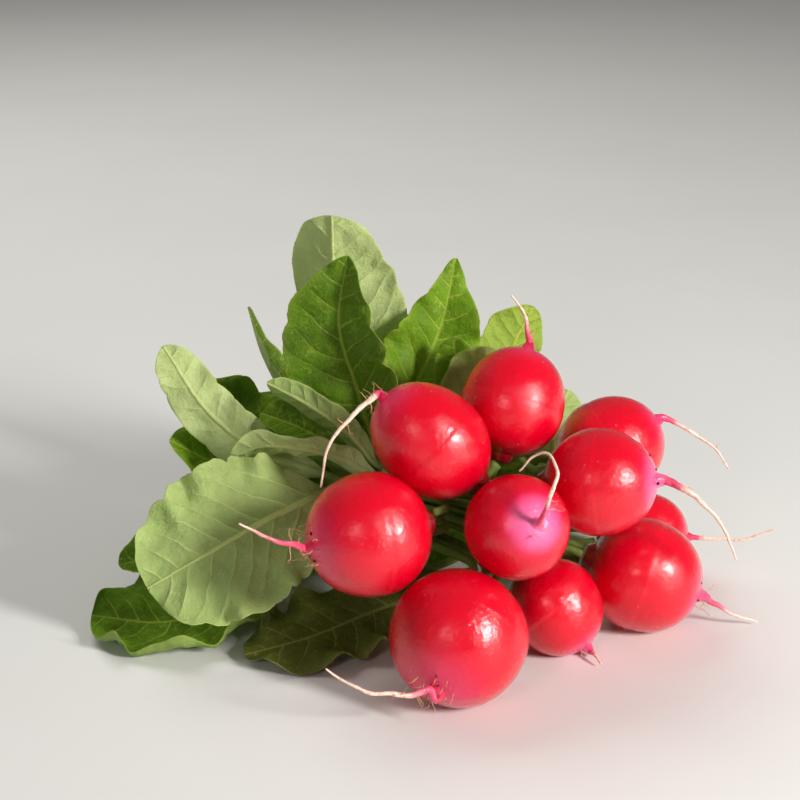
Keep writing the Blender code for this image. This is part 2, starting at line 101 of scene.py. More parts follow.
add_soft_box("key_light", (0.75, -0.62, 0.42), 1.1, (0.16, 0.3), 14.5, (1.0, 0.985, 0.97))
add_soft_box("front_fill", (-0.35, -0.85, 0.45), 1.6, (0.24, 0.24), 2.4)
back_light = add_soft_box("back_light", (-0.45, 0.55, 0.85), 1.3, (1.0, 0.8), 9.0, (1.0, 0.99, 0.95))
back_light.visible_glossy = False  # it lights the leaves, but leaves no haze on the wet skins

world = bpy.data.worlds.new("studio")
world.use_nodes = True
world.node_tree.nodes["Background"].inputs["Color"].default_value = (1.0, 0.99, 0.96, 1.0)
world.node_tree.nodes["Background"].inputs["Strength"].default_value = 0.14
bpy.context.scene.world = world
bpy.context.scene.view_settings.view_transform = "Standard"


# %% [markdown]
# ## Small helpers for finishes
# Every finish below is a tree of a few kinds of node: noise and cells for the pattern, a range to pick out a
# part of it, a mix of two colours, and a bump. These helpers keep each finish readable. Sockets are filled
# by name, and a value that is itself a socket is linked.

# %% Node helpers
def paint(red, green, blue):
    """A colour as a paint chart gives it, 0 to 255 for each part, as the linear light a shader takes."""
    parts = [part / 255 for part in (red, green, blue)]
    return (*[part / 12.92 if part < 0.04 else ((part + 0.055) / 1.055) ** 2.4 for part in parts], 1.0)


def fill(tree, node, values):
    for name, value in values.items():
        socket = node.inputs[name]
        if isinstance(value, bpy.types.NodeSocket):
            tree.links.new(value, socket)
        else:
            socket.default_value = value
    return node


def put(tree, kind, values, **settings):
    """A new node with its settings, and its sockets filled by name or number."""
    node = tree.nodes.new(kind)
    for name, value in settings.items():
        setattr(node, name, value)
    return fill(tree, node, values)


def mix(tree, share, first, second, blend="MIX"):
    node = put(tree, "ShaderNodeMix", {0: share, 6: first, 7: second}, data_type="RGBA", blend_type=blend)
    return node.outputs[2]


def pick(tree, value, low, high, to_low=0.0, to_high=1.0):
    """Stretch the part of a pattern between low and high over a new range, softly at both ends."""
    values = {"Value": value, "From Min": low, "From Max": high, "To Min": to_low, "To Max": to_high}
    return put(tree, "ShaderNodeMapRange", values, interpolation_type="SMOOTHSTEP").outputs[0]


def cloud(tree, where, scale, detail=2.0, rough=0.5, bend=0.0):
    values = {"Vector": where, "Scale": scale, "Detail": detail, "Roughness": rough, "Distortion": bend}
    return put(tree, "ShaderNodeTexNoise", values).outputs["Fac"]


def reckon(tree, how, first, second, third=0.5):
    return put(tree, "ShaderNodeMath", {0: first, 1: second, 2: third}, operation=how).outputs[0]


def read(tree, name):
    return put(tree, "ShaderNodeAttribute", {}, attribute_name=name)


def raise_by(tree, height, distance, below=None):
    values = {"Height": height, "Distance": distance, "Strength": 1.0}
    if below is not None:
        values["Normal"] = below
    return put(tree, "ShaderNodeBump", values).outputs[0]


def new_finish(name):
    """A material, its tree and its principled shader."""
    material = bpy.data.materials.new(name)
    material.use_nodes = True
    return material, material.node_tree, material.node_tree.nodes["Principled BSDF"]


# %% [markdown]
# ## The floor
# A plain pale table top under soft light. It is only there to catch the shadows, so it isn't part of the
# bunch. A faint cloudiness in its colour keeps it from looking like empty paper.

# %% Floor
material, tree, shader = new_finish("pale_table")
place = put(tree, "ShaderNodeTexCoord", {}).outputs["Object"]
fill(tree, shader, {
    "Base Color": mix(tree, cloud(tree, place, 9.0), paint(226, 225, 221), paint(233, 232, 229)),
    "Roughness": 0.65})
floor_mesh = bpy.data.meshes.new("floor")
floor_mesh.from_pydata([(-4, -4, 0), (4, -4, 0), (4, 4, 0), (-4, 4, 0)], [], [(0, 1, 2, 3)])
floor_mesh.materials.append(material)
floor = bpy.data.objects.new("floor", floor_mesh)
bpy.context.scene.collection.objects.link(floor)

# %% [markdown]
# ## How the bunch is laid out
# The same design values as the CAD model has, in millimetres, because the fine pieces grow along the same
# lines. A radish has a centre, the way its root points, an equator radius, a half length and its root's
# route. A leaf has the radish it grows from, its place in the band's pack of stalks, a route for its middle
# rib and the way its upper side faces. What is added here is how each one looks.

# %% The band and the stalks
TIE_AT = np.array([-2.0, 54.0, 46.0])
TIE_AXIS = np.array([-0.84, 0.44, 0.31])
ROWS = (4, 5, 6, 5, 4)
STALK_PITCH = 3.9
STALK_WIDTH = 2.6
STALK_REACH = 7.0
LOOSE_SPREAD = 0.95
CROWN_REACH = 6.0
LEAN = 1.0
CROWN_WIDTH = 9.0
CROWN_HEIGHT = 3.0
CROWN_GAP = 1.4
ROOT_TIP = 0.3

# %% The radishes
# lilac at the neck: how lilac the skin turns around the root, partly its own colour and partly a painted
# highlight. pink: how far the blush of the skin runs down the root.
# hairs, soil: how much of them it has.
RADISHES = {
    "radish_front": dict(
        centre=(17.9, -11.0, 20.8), points=(-0.33, -0.83, -0.46), radius=21.6, half=20.9, root_width=3.2,
        stalks=[(8, 39, 34)], pink=0.34, hairs=1.6, soil=1.0,
        root=[(9, -30, 13.5), (3, -33, 13), (-7, -35, 15), (-15, -35, 18), (-22, -33, 22)]),
    "radish_left": dict(
        centre=(-9.9, 0.0, 50.7), points=(-0.89, -0.45, 0.0), radius=19.3, half=19.4, root_width=3.0,
        stalks=[(12, 28, 47)], pink=0.85, hairs=1.0, soil=0.8,
        root=[(-32, -13, 53.5), (-39, -17, 57), (-48, -18, 63)]),
    "radish_upper_left": dict(
        centre=(9.4, 22.0, 73.6), points=(-0.73, 0.03, 0.68), radius=16.7, half=20.4, root_width=2.8,
        pink=0.12, hairs=1.0, soil=0.8,
        root=[(-9, 18, 88.5), (-16, 13, 84), (-22, 8, 77), (-24, 7, 64)]),
    "radish_top": dict(
        centre=(37.0, 45.0, 78.2), points=(0.27, 0.42, 0.87), radius=16.6, half=18.0, root_width=2.8,
        pink=0.45, hairs=0.2, soil=0.1,
        root=[(41.5, 52, 99), (41, 54, 105), (36, 55, 111)]),
    "radish_middle": dict(
        centre=(36.6, 5.0, 51.2), points=(0.31, -0.84, 0.45), radius=16.2, half=16.1, root_width=2.2,
        lilac_and_highlight=0.75, pink=0.25, hairs=0.5, soil=0.2,
        root=[(44, -14, 67), (47, -11, 76), (45, -6, 80), (40, -3, 78), (36, -1, 73)]),
    "radish_upper_right": dict(
        centre=(64.3, 26.0, 57.6), points=(0.97, -0.22, 0.13), radius=16.9, half=17.9, root_width=3.4,
        stalks=[(27, 39, 46)], lilac_and_highlight=0.6, pink=0.2, hairs=0.3, soil=0.1,
        root=[(88, 19, 59), (96, 16, 54), (102, 14, 47), (107, 14, 36)]),
    "radish_back_upper": dict(
        centre=(71.8, 66.0, 54.0), points=(0.87, 0.17, 0.47), radius=16.9, half=18.4, root_width=2.6,
        lilac_and_highlight=0.25, pink=0.2, hairs=0.2, soil=0.1,
        root=[(93, 69, 62), (101, 68, 58), (108, 66, 53), (112, 65, 46)]),
    "radish_back_lower": dict(
        centre=(86.6, 76.5, 17.0), points=(1.0, -0.02, -0.07), radius=14.4, half=14.8, root_width=2.2,
        pink=0.15, hairs=0.2, soil=0.1,
        root=[(107, 76, 15.5), (118, 75, 15), (131, 73, 20)]),
    "radish_right": dict(
        centre=(81.8, 40.0, 18.0), points=(0.94, -0.16, -0.29), radius=18.7, half=19.1, root_width=3.0,
        stalks=[(32, 50, 33)], lilac_and_highlight=0.35, pink=0.5, hairs=0.3, soil=0.2,
        root=[(104, 37, 9.5), (112, 38, 4.5), (120, 39, 1.2)]),
    "radish_small": dict(
        centre=(50.9, 23.0, 14.5), points=(0.62, -0.36, -0.70), radius=15.1, half=15.9, root_width=2.6,
        lilac_and_highlight=0.4, pink=0.5, hairs=0.3, soil=0.2,
        root=[(63.0, 13, 2.2), (64.5, 9, 1.2)]),
}

# %% The leaves
# finish: which of the leaf finishes it has. ruffle: how far its margin waves, in millimetres. notch: how
# deep the notches in the margin are. fine: the size of its faces, in millimetres, small where it shows.
# roll: how far each margin rolls over, left and right.
LEAVES = {
    "leaf_front_left_large": dict(
        of="radish_left", tied=(2, 0),
        route=[(-19, 48, 48), (-31, 38, 46), (-46, 28, 42), (-64, 20, 34), (-81, 16, 25)],
        faces=(-0.12, 0.80, -0.55), blade=68, width=52, fold=0.05, curl=-0.35, outline="round",
        finish="pale_leaf", ruffle=2.8, notch=0.11, fine=0.45),
    "leaf_ground_left": dict(
        of="radish_front", tied=(4, 0), route=[(-28, 56, 32), (-48, 46, 12), (-76, 36, 3), (-103, 36, 5)],
        faces=(0.05, -0.15, 0.98), blade=66, width=54, fold=0.05, curl=0.15, outline="round",
        finish="green_leaf", ruffle=3.4, notch=0.09, fine=0.5, roll=(1.1, 0.0)),
    "leaf_ground_front": dict(
        of="radish_front", route=[(17, 27, 24), (7, 36, 13), (-10, 32, 8), (-30, 20, 5), (-50, 12, 3)],
        faces=(-0.1, -0.25, 0.95), blade=76, width=38, fold=0.05, curl=0.1, outline="round",
        finish="old_leaf", ruffle=3.0, notch=0.05, fine=0.5),
    "leaf_ground_left_small": dict(
        of="radish_front", tied=(4, 1), route=[(-32, 63, 35), (-58, 66, 22), (-80, 66, 14), (-97, 61, 12)],
        faces=(0.1, -0.3, 0.95), blade=54, width=26, fold=0.15, curl=0.1, outline="round",
        finish="green_leaf", ruffle=1.5, notch=0.055),
    "leaf_tongue": dict(
        of="radish_left", tied=(3, 0), route=[(-30, 58, 49), (-48, 60, 55), (-65, 62, 69), (-79, 66, 90)],
        faces=(-0.1, 0.95, -0.2), blade=72, width=19, fold=0.1, curl=-0.2, outline="strap",
        finish="sunlit_leaf", ruffle=1.6, notch=0.08, fine=0.45),
    "leaf_folded": dict(
        of="radish_left", tied=(1, 0), route=[(-18, 52, 55), (-30, 46, 61), (-46, 46, 62), (-56, 48, 57)],
        faces=(0.1, 0.9, 0.4), blade=58, width=13, fold=0.1, curl=0.3, outline="strap",
        finish="sunlit_leaf", ruffle=1.4, notch=0.055, fine=0.45),
    "leaf_small_front": dict(
        of="radish_upper_left", tied=(0, 0),
        route=[(-13, 54, 59), (-21, 54, 67), (-32, 56, 74), (-44, 58, 80)],
        faces=(0.1, 0.9, 0.4), blade=48, width=12, fold=0.1, curl=0.2, outline="strap",
        finish="pale_leaf", ruffle=0.6, notch=0.04, fine=0.45),
    "leaf_tall_front": dict(
        of="radish_upper_left", tied=(0, 1),
        route=[(-10, 60, 62), (-14, 62, 76), (-20, 63, 98), (-17, 60, 123)],
        faces=(-0.45, -0.88, 0.1), blade=72, width=44, fold=0.35, curl=0.1, outline="egg",
        finish="green_leaf", ruffle=1.8, notch=0.1, fine=0.45),
    "leaf_tall_back": dict(
        of="radish_top", tied=(0, 2), route=[(-12, 74, 63), (-13, 84, 80), (-22, 90, 106), (-23, 88, 129)],
        faces=(0.34, 0.94, 0.1), blade=74, width=42, fold=0.25, curl=0.1, outline="round",
        finish="sunlit_leaf", ruffle=1.0, notch=0.04, fine=0.45),
    "leaf_pointed": dict(
        of="radish_top", tied=(0, 3), route=[(-3, 69, 60), (5, 78, 72), (14, 85, 91), (19, 89, 114)],
        faces=(0.1, -0.95, 0.1), blade=62, width=36, fold=0.4, curl=-0.3, outline="spear",
        finish="bright_leaf", ruffle=2.4, notch=0.09, fine=0.45),
    "leaf_centre": dict(
        of="radish_upper_left", tied=(1, 1), route=[(-22, 60, 56), (-34, 63, 62), (-47, 66, 66)],
        faces=(0.2, -0.3, 0.9), blade=34, width=20, fold=0.2, curl=0.2,
        finish="green_leaf", ruffle=1.2, notch=0.06),
    "leaf_thin": dict(
        of="radish_upper_right", tied=(1, 2),
        route=[(-24, 70, 57), (-38, 80, 66), (-47, 86, 80), (-52, 88, 97)],
        faces=(0.6, -0.5, 0.4), blade=58, width=14, fold=0.8, curl=0.2, outline="spear",
        finish="sunlit_leaf", ruffle=1.2, notch=0.045, fine=0.5),
    "leaf_upright_back": dict(
        of="radish_upper_right", tied=(1, 3),
        route=[(-17, 78, 58), (-22, 94, 70), (-24, 104, 84), (-22, 108, 97)],
        faces=(0.1, 0.9, 0.4), blade=52, width=30, fold=0.2, curl=0.1, outline="round",
        finish="green_leaf", ruffle=1.5, notch=0.06),
    "leaf_behind_top": dict(
        of="radish_upper_right", tied=(1, 4), route=[(-4, 65, 52), (9, 64, 59), (22, 66, 74), (33, 67, 88)],
        faces=(-0.2, 0.95, 0.2), blade=42, width=21, fold=0.2, curl=0.1,
        finish="green_leaf", ruffle=1.0, notch=0.06),
    "leaf_dark_left": dict(
        of="radish_middle", tied=(2, 1), route=[(-30, 68, 50), (-46, 76, 55), (-60, 82, 61), (-71, 86, 69)],
        faces=(0.3, -0.5, 0.8), blade=58, width=30, fold=0.2, curl=0.1, outline="round",
        finish="green_leaf", ruffle=2.0, notch=0.07),
    "leaf_back_left_high": dict(
        of="radish_middle", tied=(2, 2),
        route=[(-30, 79, 50), (-46, 95, 53), (-60, 108, 47), (-68, 119, 36)],
        faces=(0.1, -0.1, 1.0), blade=56, width=40, fold=0.15, curl=-0.2, outline="round",
        finish="green_leaf", ruffle=1.6, notch=0.055),
    "leaf_back_high": dict(
        of="radish_small", tied=(2, 3),
        route=[(-24, 85, 53), (-34, 106, 56), (-41, 124, 50), (-46, 139, 38)],
        faces=(0.1, -0.1, 1.0), blade=60, width=42, fold=0.2, curl=-0.2, outline="round",
        finish="green_leaf", ruffle=1.6, notch=0.055),
    "leaf_back_middle": dict(
        of="radish_back_upper", tied=(2, 4),
        route=[(-15, 87, 52), (-16, 106, 54), (-14, 125, 47), (-12, 141, 35)],
        faces=(0.0, -0.1, 1.0), blade=60, width=42, fold=0.15, curl=-0.2,
        finish="bright_leaf", ruffle=1.6, notch=0.055),
    "leaf_back_right_high": dict(
        of="radish_back_upper", tied=(2, 5),
        route=[(-3, 80, 51), (7, 96, 54), (19, 109, 51), (30, 118, 40)],
        faces=(0.0, -0.1, 1.0), blade=62, width=36, fold=0.15, curl=-0.2, outline="round",
        finish="green_leaf", ruffle=1.4, notch=0.055),
    "leaf_left_bright": dict(
        of="radish_middle", tied=(3, 1), route=[(-34, 66, 44), (-50, 68, 44), (-64, 67, 48), (-78, 64, 57)],
        faces=(0.1, -0.4, 0.9), blade=62, width=30, fold=0.1, curl=0.1, outline="round",
        finish="bright_leaf", ruffle=1.2, notch=0.055),
    "leaf_back_left_low": dict(
        of="radish_small", tied=(3, 2),
        route=[(-34, 78, 42), (-54, 94, 34), (-70, 106, 22), (-80, 114, 10)],
        faces=(-0.2, 0.1, 1.0), blade=66, width=38, fold=0.1, curl=-0.2, outline="round",
        finish="green_leaf", ruffle=1.6, notch=0.055),
    "leaf_back_low": dict(
        of="radish_right", tied=(3, 3),
        route=[(-28, 86, 42), (-43, 112, 36), (-51, 134, 24), (-55, 150, 10)],
        faces=(0.0, 0.1, 1.0), blade=66, width=38, fold=0.1, curl=-0.2, outline="round",
        finish="green_leaf", ruffle=1.8, notch=0.055),
    "leaf_back_middle_low": dict(
        of="radish_right", tied=(3, 4),
        route=[(-13, 88, 41), (-13, 110, 34), (-9, 132, 22), (-7, 150, 10)],
        faces=(0.0, 0.1, 1.0), blade=78, width=40, fold=0.1, curl=-0.2, outline="round",
        finish="old_leaf", ruffle=1.6, notch=0.055),
    "leaf_ground_back_left": dict(
        of="radish_front", tied=(4, 2), route=[(-36, 72, 34), (-58, 80, 20), (-76, 86, 6), (-92, 90, 1.2)],
        faces=(-0.2, 0.0, 1.0), blade=54, width=36, fold=0.1, curl=-0.1,
        finish="old_leaf", ruffle=1.2, notch=0.055),
    "leaf_ground_back": dict(
        of="radish_small", tied=(4, 3),
        route=[(-18, 82, 39), (-26, 101, 22), (-30, 121, 6), (-30, 141, 1.2)],
        faces=(0.0, 0.1, 1.0), blade=68, width=40, fold=0.1, curl=-0.1, outline="round",
        finish="green_leaf", ruffle=1.2, notch=0.055),
    "leaf_beside_top": dict(
        of="radish_top", route=[(31, 48, 55), (28, 64, 56), (21, 73, 67), (18, 73, 91)],
        faces=(-0.1, -0.95, 0.2), blade=34, width=16, fold=0.2, curl=0.0, outline="round",
        finish="bright_leaf", ruffle=0.8, notch=0.05, fine=0.45),
    "leaf_back_right": dict(
        of="radish_back_upper", route=[(40, 70, 50), (34, 82, 62), (38, 91, 79), (46, 95, 95)],
        faces=(-0.3, 0.8, 0.2), blade=42, width=26, fold=0.1, curl=0.0, outline="round",
        finish="bright_leaf", ruffle=1.0, notch=0.045, fine=0.5),
    "leaf_far_right": dict(
        of="radish_back_lower", route=[(57, 88, 30), (55, 99, 45), (60, 104, 61)],
        faces=(-0.2, 0.8, 0.4), blade=36, width=22, fold=0.1, curl=0.0, outline="round",
        finish="pale_leaf", ruffle=0.8, notch=0.05, fine=0.5),
    "leaf_ground_right": dict(
        of="radish_back_lower", route=[(59, 90, 14), (60, 108, 15), (68, 124, 7), (77, 138, 1.2)],
        faces=(0.0, 0.1, 1.0), blade=54, width=34, fold=0.1, curl=-0.1, outline="round",
        finish="green_leaf", ruffle=1.2, notch=0.055),
    "leaf_ground_far_right": dict(
        of="radish_back_lower",
        route=[(56, 73, 13), (43, 84, 13), (36, 102, 13), (35, 120, 6), (38, 137, 1.2)],
        faces=(0.0, 0.1, 1.0), blade=62, width=34, fold=0.1, curl=-0.1, outline="round",
        finish="bright_leaf", ruffle=1.2, notch=0.055),
    "leaf_ground_middle": dict(
        of="radish_right", route=[(42, 52, 22), (26, 70, 18), (14, 92, 8), (8, 114, 1.2)],
        faces=(0.0, 0.1, 1.0), blade=62, width=38, fold=0.1, curl=-0.1,
        finish="green_leaf", ruffle=1.2, notch=0.055),
    "leaf_back_short": dict(
        of="radish_back_lower", route=[(52, 78, 44), (36, 86, 38), (18, 94, 32)],
        faces=(0.0, -0.95, 0.3), blade=36, width=26, fold=0.1, curl=0.1, outline="round",
        finish="green_leaf", ruffle=1.2, notch=0.05),
    "leaf_under_middle": dict(
        of="radish_upper_right", route=[(29, 49, 28), (22, 63, 25), (-5, 77, 9)],
        faces=(0.0, -0.6, 0.8), blade=44, width=28, fold=0.1, curl=0.1, outline="round",
        finish="green_leaf", ruffle=1.4, notch=0.05),
    "leaf_under_left": dict(
        of="radish_back_upper", route=[(12, 54, 15), (-8, 59, 15), (-35, 74, 13)],
        faces=(0.0, -0.5, 0.85), blade=44, width=22, fold=0.1, curl=0.1, outline="round",
        finish="green_leaf", ruffle=1.4, notch=0.05),
}
print(len(RADISHES), "radishes and", len(LEAVES), "leaves")


# %% [markdown]
# ## Following a line
# A root and a leaf stalk are both long things that grow along a curve, so they share the same few tools: a
# smooth curve through a few chosen points, places at given distances along it, and directions carried along
# it without any twist. A Curve object could do this too, but here each row of a piece needs its own width,
# fold and waviness, and so the rows are worked out in code.

# %% Curves and directions
def unit(values):
    values = np.array(values, float)
    return values / np.linalg.norm(values)


def smooth_route(points):
    """Many points on a smooth curve through the given ones (a centripetal spline)."""
    points = np.array(points, float)
    padded = np.vstack([2 * points[0] - points[1], points, 2 * points[-1] - points[-2]])
    dense = []
    for p0, p1, p2, p3 in zip(padded, padded[1:], padded[2:], padded[3:]):
        t1 = math.sqrt(np.linalg.norm(p1 - p0))
        t2 = t1 + math.sqrt(np.linalg.norm(p2 - p1))
        t3 = t2 + math.sqrt(np.linalg.norm(p3 - p2))
        for t in np.linspace(t1, t2, 16, endpoint=False):
            a1 = ((t1 - t) * p0 + t * p1) / t1
            a2 = ((t2 - t) * p1 + (t - t1) * p2) / (t2 - t1)
            a3 = ((t3 - t) * p2 + (t - t2) * p3) / (t3 - t2)
            b1 = ((t2 - t) * a1 + t * a2) / t2
            b2 = ((t3 - t) * a2 + (t - t1) * a3) / (t3 - t1)
            dense.append(((t2 - t) * b1 + (t - t1) * b2) / (t2 - t1))
    return np.array(dense + [points[-1]])


def length_of(route):
    return float(np.linalg.norm(np.diff(route, axis=0), axis=1).sum())


def walk(route, distances):
    """The points of a route at these distances along it."""
    along = np.append(0, np.cumsum(np.linalg.norm(np.diff(route, axis=0), axis=1)))
    return np.stack([np.interp(distances, along, route[:, k]) for k in range(3)], axis=1)


def turn_onto(vector, was, now):
    """Turn a vector as the direction `was` turns onto `now` by the shortest way."""
    return np.array(Vector(was).rotation_difference(Vector(now)) @ Vector(vector))


def carried_frames(points, upward, start):
    """Along, sideways and upward directions at each point, carried both ways from the start point."""
    along = np.gradient(points, axis=0)
    along /= np.linalg.norm(along, axis=1)[:, None]
    upper = np.zeros_like(along)
    upper[start] = unit(np.array(upward) - np.dot(upward, along[start]) * along[start])
    for k in range(start + 1, len(points)):
        upper[k] = turn_onto(upper[k - 1], along[k - 1], along[k])
    for k in range(start - 1, -1, -1):
        upper[k] = turn_onto(upper[k + 1], along[k + 1], along[k])
    return along, np.cross(along, upper), upper


# %% Soft noise and smooth steps
def grain(places, size, seed):
    """Smooth noise, from -1 to 1, at each place, with bumps about as large as size."""
    shift = Vector((seed * 7.31, seed * 3.77, seed * 5.13))
    flat = np.asarray(places, float).reshape(-1, 3) / size
    values = [noise.noise(Vector(place) + shift) for place in flat]
    return np.array(values).reshape(np.asarray(places).shape[:-1])


def step(value, low, high):
    share = np.clip((value - low) / (high - low), 0, 1)
    return share * share * (3 - 2 * share)


# %% [markdown]
# ## From rows of points to a piece
# Both radishes and leaves are made as rows of points around a line, closed at both ends. One function turns
# such rows into a mesh: it joins each row to the next, closes the ends, makes sure that the faces look
# outwards, and stores the values that the finishes read. Then the piece takes its place in the frame: it
# rides on the body, it hides the plain CAD solid that it stands for, and it says which finish it takes.

# %% Rows to a mesh
def mesh_from_rows(name, rows, values, ends):
    """rows: stations x around x 3. values: named numbers for each point. ends: "fan" or "strip"."""
    stations, around = rows.shape[:2]
    index = np.arange(stations * around).reshape(stations, around)
    nexts = np.roll(index, -1, axis=1)
    quads = np.stack([index[:-1], nexts[:-1], nexts[1:], index[1:]], axis=-1).reshape(-1, 4)
    places = rows.reshape(-1, 3)
    faces = quads.tolist()
    columns = {key: np.asarray(value, float).reshape(stations * around, -1) for key, value in values.items()}
    for row, backward in ((0, True), (stations - 1, False)):
        ring = index[row]
        if ends == "fan":
            middle = len(places)
            places = np.vstack([places, places[ring].mean(0)])
            columns = {key: np.vstack([value, value[ring].mean(0)]) for key, value in columns.items()}
            caps = [[a, b, middle] for a, b in zip(ring, np.roll(ring, -1))]
        else:
            half = around // 2
            caps = [[ring[k], ring[k + 1], ring[-2 - k], ring[-1 - k]] for k in range(half - 1)]
        faces += [cap[::-1] if backward else cap for cap in caps]
    corners = places[np.array([face[:3] for face in faces])]
    volume = np.einsum("ij,ij->", corners[:, 0], np.cross(corners[:, 1], corners[:, 2]))
    if volume < 0:
        faces = [face[::-1] for face in faces]
    mesh = bpy.data.meshes.new(name)
    in_frame = (places - MIDDLE_OF_BUNCH) * MM
    mesh.from_pydata(in_frame.tolist(), [], [[int(k) for k in face] for face in faces])
    for key, value in columns.items():
        kind, field = ("FLOAT", "value") if value.shape[1] == 1 else ("FLOAT_VECTOR", "vector")
        mesh.attributes.new(key, kind, "POINT").data.foreach_set(field, value.astype(np.float32).ravel())
    mesh.shade_smooth()
    mesh.update()
    return mesh


# %% Taking its place in the frame
def place_piece(name, mesh, material, node):
    mesh.materials.append(material)
    piece = bpy.data.objects.new(name, mesh)
    bpy.context.scene.collection.objects.link(piece)
    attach(piece, "root")
    if node:
        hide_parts(node)
    return piece


def far_from_cad(piece, node):
    """How far the corners of a piece's box are from its CAD node's, in millimetres."""
    places = np.array([vertex.co for vertex in piece.data.vertices])
    low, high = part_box(node)
    return round(float(max(abs(places.min(0) - low).max(), abs(places.max(0) - high).max())) / MM, 1)


# %% [markdown]
# ## The skin of a radish
# The skin is a thin, wet, cherry red layer over white flesh. It is deepest at the shoulder and turns pink,
# then cream, where it runs out on to the root. Close up it is covered in very fine wrinkles, which break the
# edge of each reflection into sparks, and it has pale specks and short scars where it rubbed against stones.
# Noise in Object coordinates gives all of these their real size in millimetres. The rest follows values that
# are stored on the mesh: `down` is 0 at the crown, 1 at the neck and 2 at the tip of the root, `blush` says
# where the root is pink, another value how lilac the skin turns around the neck, which is partly its own
# colour and partly a painted highlight of the key light, and `turning` gives streaks and scars a way around
# the body.

# %% Skin finish
skin, tree, shader = new_finish("radish_skin")
place = put(tree, "ShaderNodeTexCoord", {}).outputs["Object"]
lengthwise = put(tree, "ShaderNodeMapping", {
    "Vector": read(tree, "turning").outputs["Vector"], "Scale": (9.0, 9.0, 0.7)}).outputs[0]
crosswise = put(tree, "ShaderNodeMapping", {
    "Vector": read(tree, "turning").outputs["Vector"], "Scale": (3.0, 3.0, 26.0)}).outputs[0]
down = read(tree, "down").outputs["Fac"]
blush = read(tree, "blush").outputs["Fac"]

red = mix(tree, cloud(tree, place, 60.0, 3.0), paint(206, 0, 28), paint(228, 1, 40))
red = mix(tree, pick(tree, cloud(tree, lengthwise, 1.0, 3.0), 0.52, 0.75, 0.0, 0.3), red, paint(186, 0, 24))
red = mix(tree, pick(tree, down, 0.80, 0.985, 0.0, 0.6), red, paint(232, 36, 92))
# lilac around the neck: partly the skin's own colour, partly a painted highlight of the key light
red = mix(tree, read(tree, "lilac_and_highlight").outputs["Fac"], red, paint(238, 112, 168))
shoulder = pick(tree, down, 0.02, 0.14, 1.0, 0.0)
red = mix(tree, reckon(tree, "MULTIPLY", shoulder, 0.6), red, paint(120, 4, 30))
root_mottle = cloud(tree, place, 900.0, 3.0, 0.6)
cream = mix(tree, pick(tree, root_mottle, 0.45, 0.7), paint(244, 214, 196), paint(222, 168, 140))
rings = pick(tree, cloud(tree, crosswise, 1.0, 2.0), 0.62, 0.7, 0.0, 0.6)
cream = mix(tree, rings, cream, paint(176, 118, 74))
pink = mix(tree, root_mottle, paint(240, 96, 130), paint(214, 44, 86))
root = mix(tree, blush, cream, pink)
skin_colour = mix(tree, pick(tree, down, 0.985, 1.03), red, root)

cells = put(tree, "ShaderNodeTexVoronoi", {"Vector": place, "Scale": 260.0, "Randomness": 1.0})
fleck = reckon(tree, "MULTIPLY", pick(tree, cells.outputs["Distance"], 0.05, 0.1, 1.0, 0.0),
               pick(tree, cloud(tree, place, 130.0), 0.5, 0.62))
scar = pick(tree, cloud(tree, crosswise, 1.6, 1.0, 0.5, 0.4), 0.79, 0.83)
on_bulb = pick(tree, down, 0.99, 1.01, 1.0, 0.0)
pale = reckon(tree, "MULTIPLY", reckon(tree, "MAXIMUM", fleck, scar), on_bulb)
skin_colour = mix(tree, reckon(tree, "MULTIPLY", pale, 0.45), skin_colour, paint(246, 150, 160))

wrinkles = cloud(tree, place, 850.0, 3.0, 0.6)
swells = cloud(tree, place, 240.0, 2.0)
sparks = raise_by(tree, wrinkles, 0.0004)
relief = raise_by(tree, wrinkles, 0.0001)
relief = raise_by(tree, swells, 0.0003, relief)
relief = raise_by(tree, pale, 0.00006, relief)
rough = reckon(tree, "ADD", pick(tree, cloud(tree, place, 500.0, 4.0), 0.35, 0.7, 0.18, 0.28),
               pick(tree, down, 0.98, 1.02, 0.0, 0.3))
fill(tree, shader, {
    "Base Color": skin_colour, "Roughness": rough, "Normal": relief, "Coat Weight": 0.7,
    "Coat Roughness": 0.09, "Coat Normal": sparks, "Specular IOR Level": 0.3})
print("skin finish:", len(tree.nodes), "nodes")

# %% [markdown]
# ## Growing a radish
# A radish is one body from its blunt crown to the hair-thin tip of its tap root, so it is one mesh: rings
# around a line that starts straight, down the bulb, and then wanders along the root. The radius of the bulb
# is a half ellipse. The radius of the root is added to it as the long side of a right triangle, which gives
# the soft, drawn-out neck between the two. Real ones are never quite round, and so slow noise pushes the
# skin in and out, and shallow furrows gather at the neck.

# %% The line and the width of a radish
CAP_STATIONS = 5
BULB_STATIONS = 84
ROOT_STATIONS = 90
CROWN_CUT, NECK_CUT = 0.16, 0.1  # how much of the ellipse's half turn is left off at its ends, in radians
NECK_WIDTH = 1.15  # how much wider the bulb ends than the root starts
EARLY_THINNING = 0.45  # the lower, the sooner a root becomes a thread


def crown_of(radish):
    return np.array(radish["centre"]) - unit(radish["points"]) * (radish["half"] + CROWN_HEIGHT * 0.6)


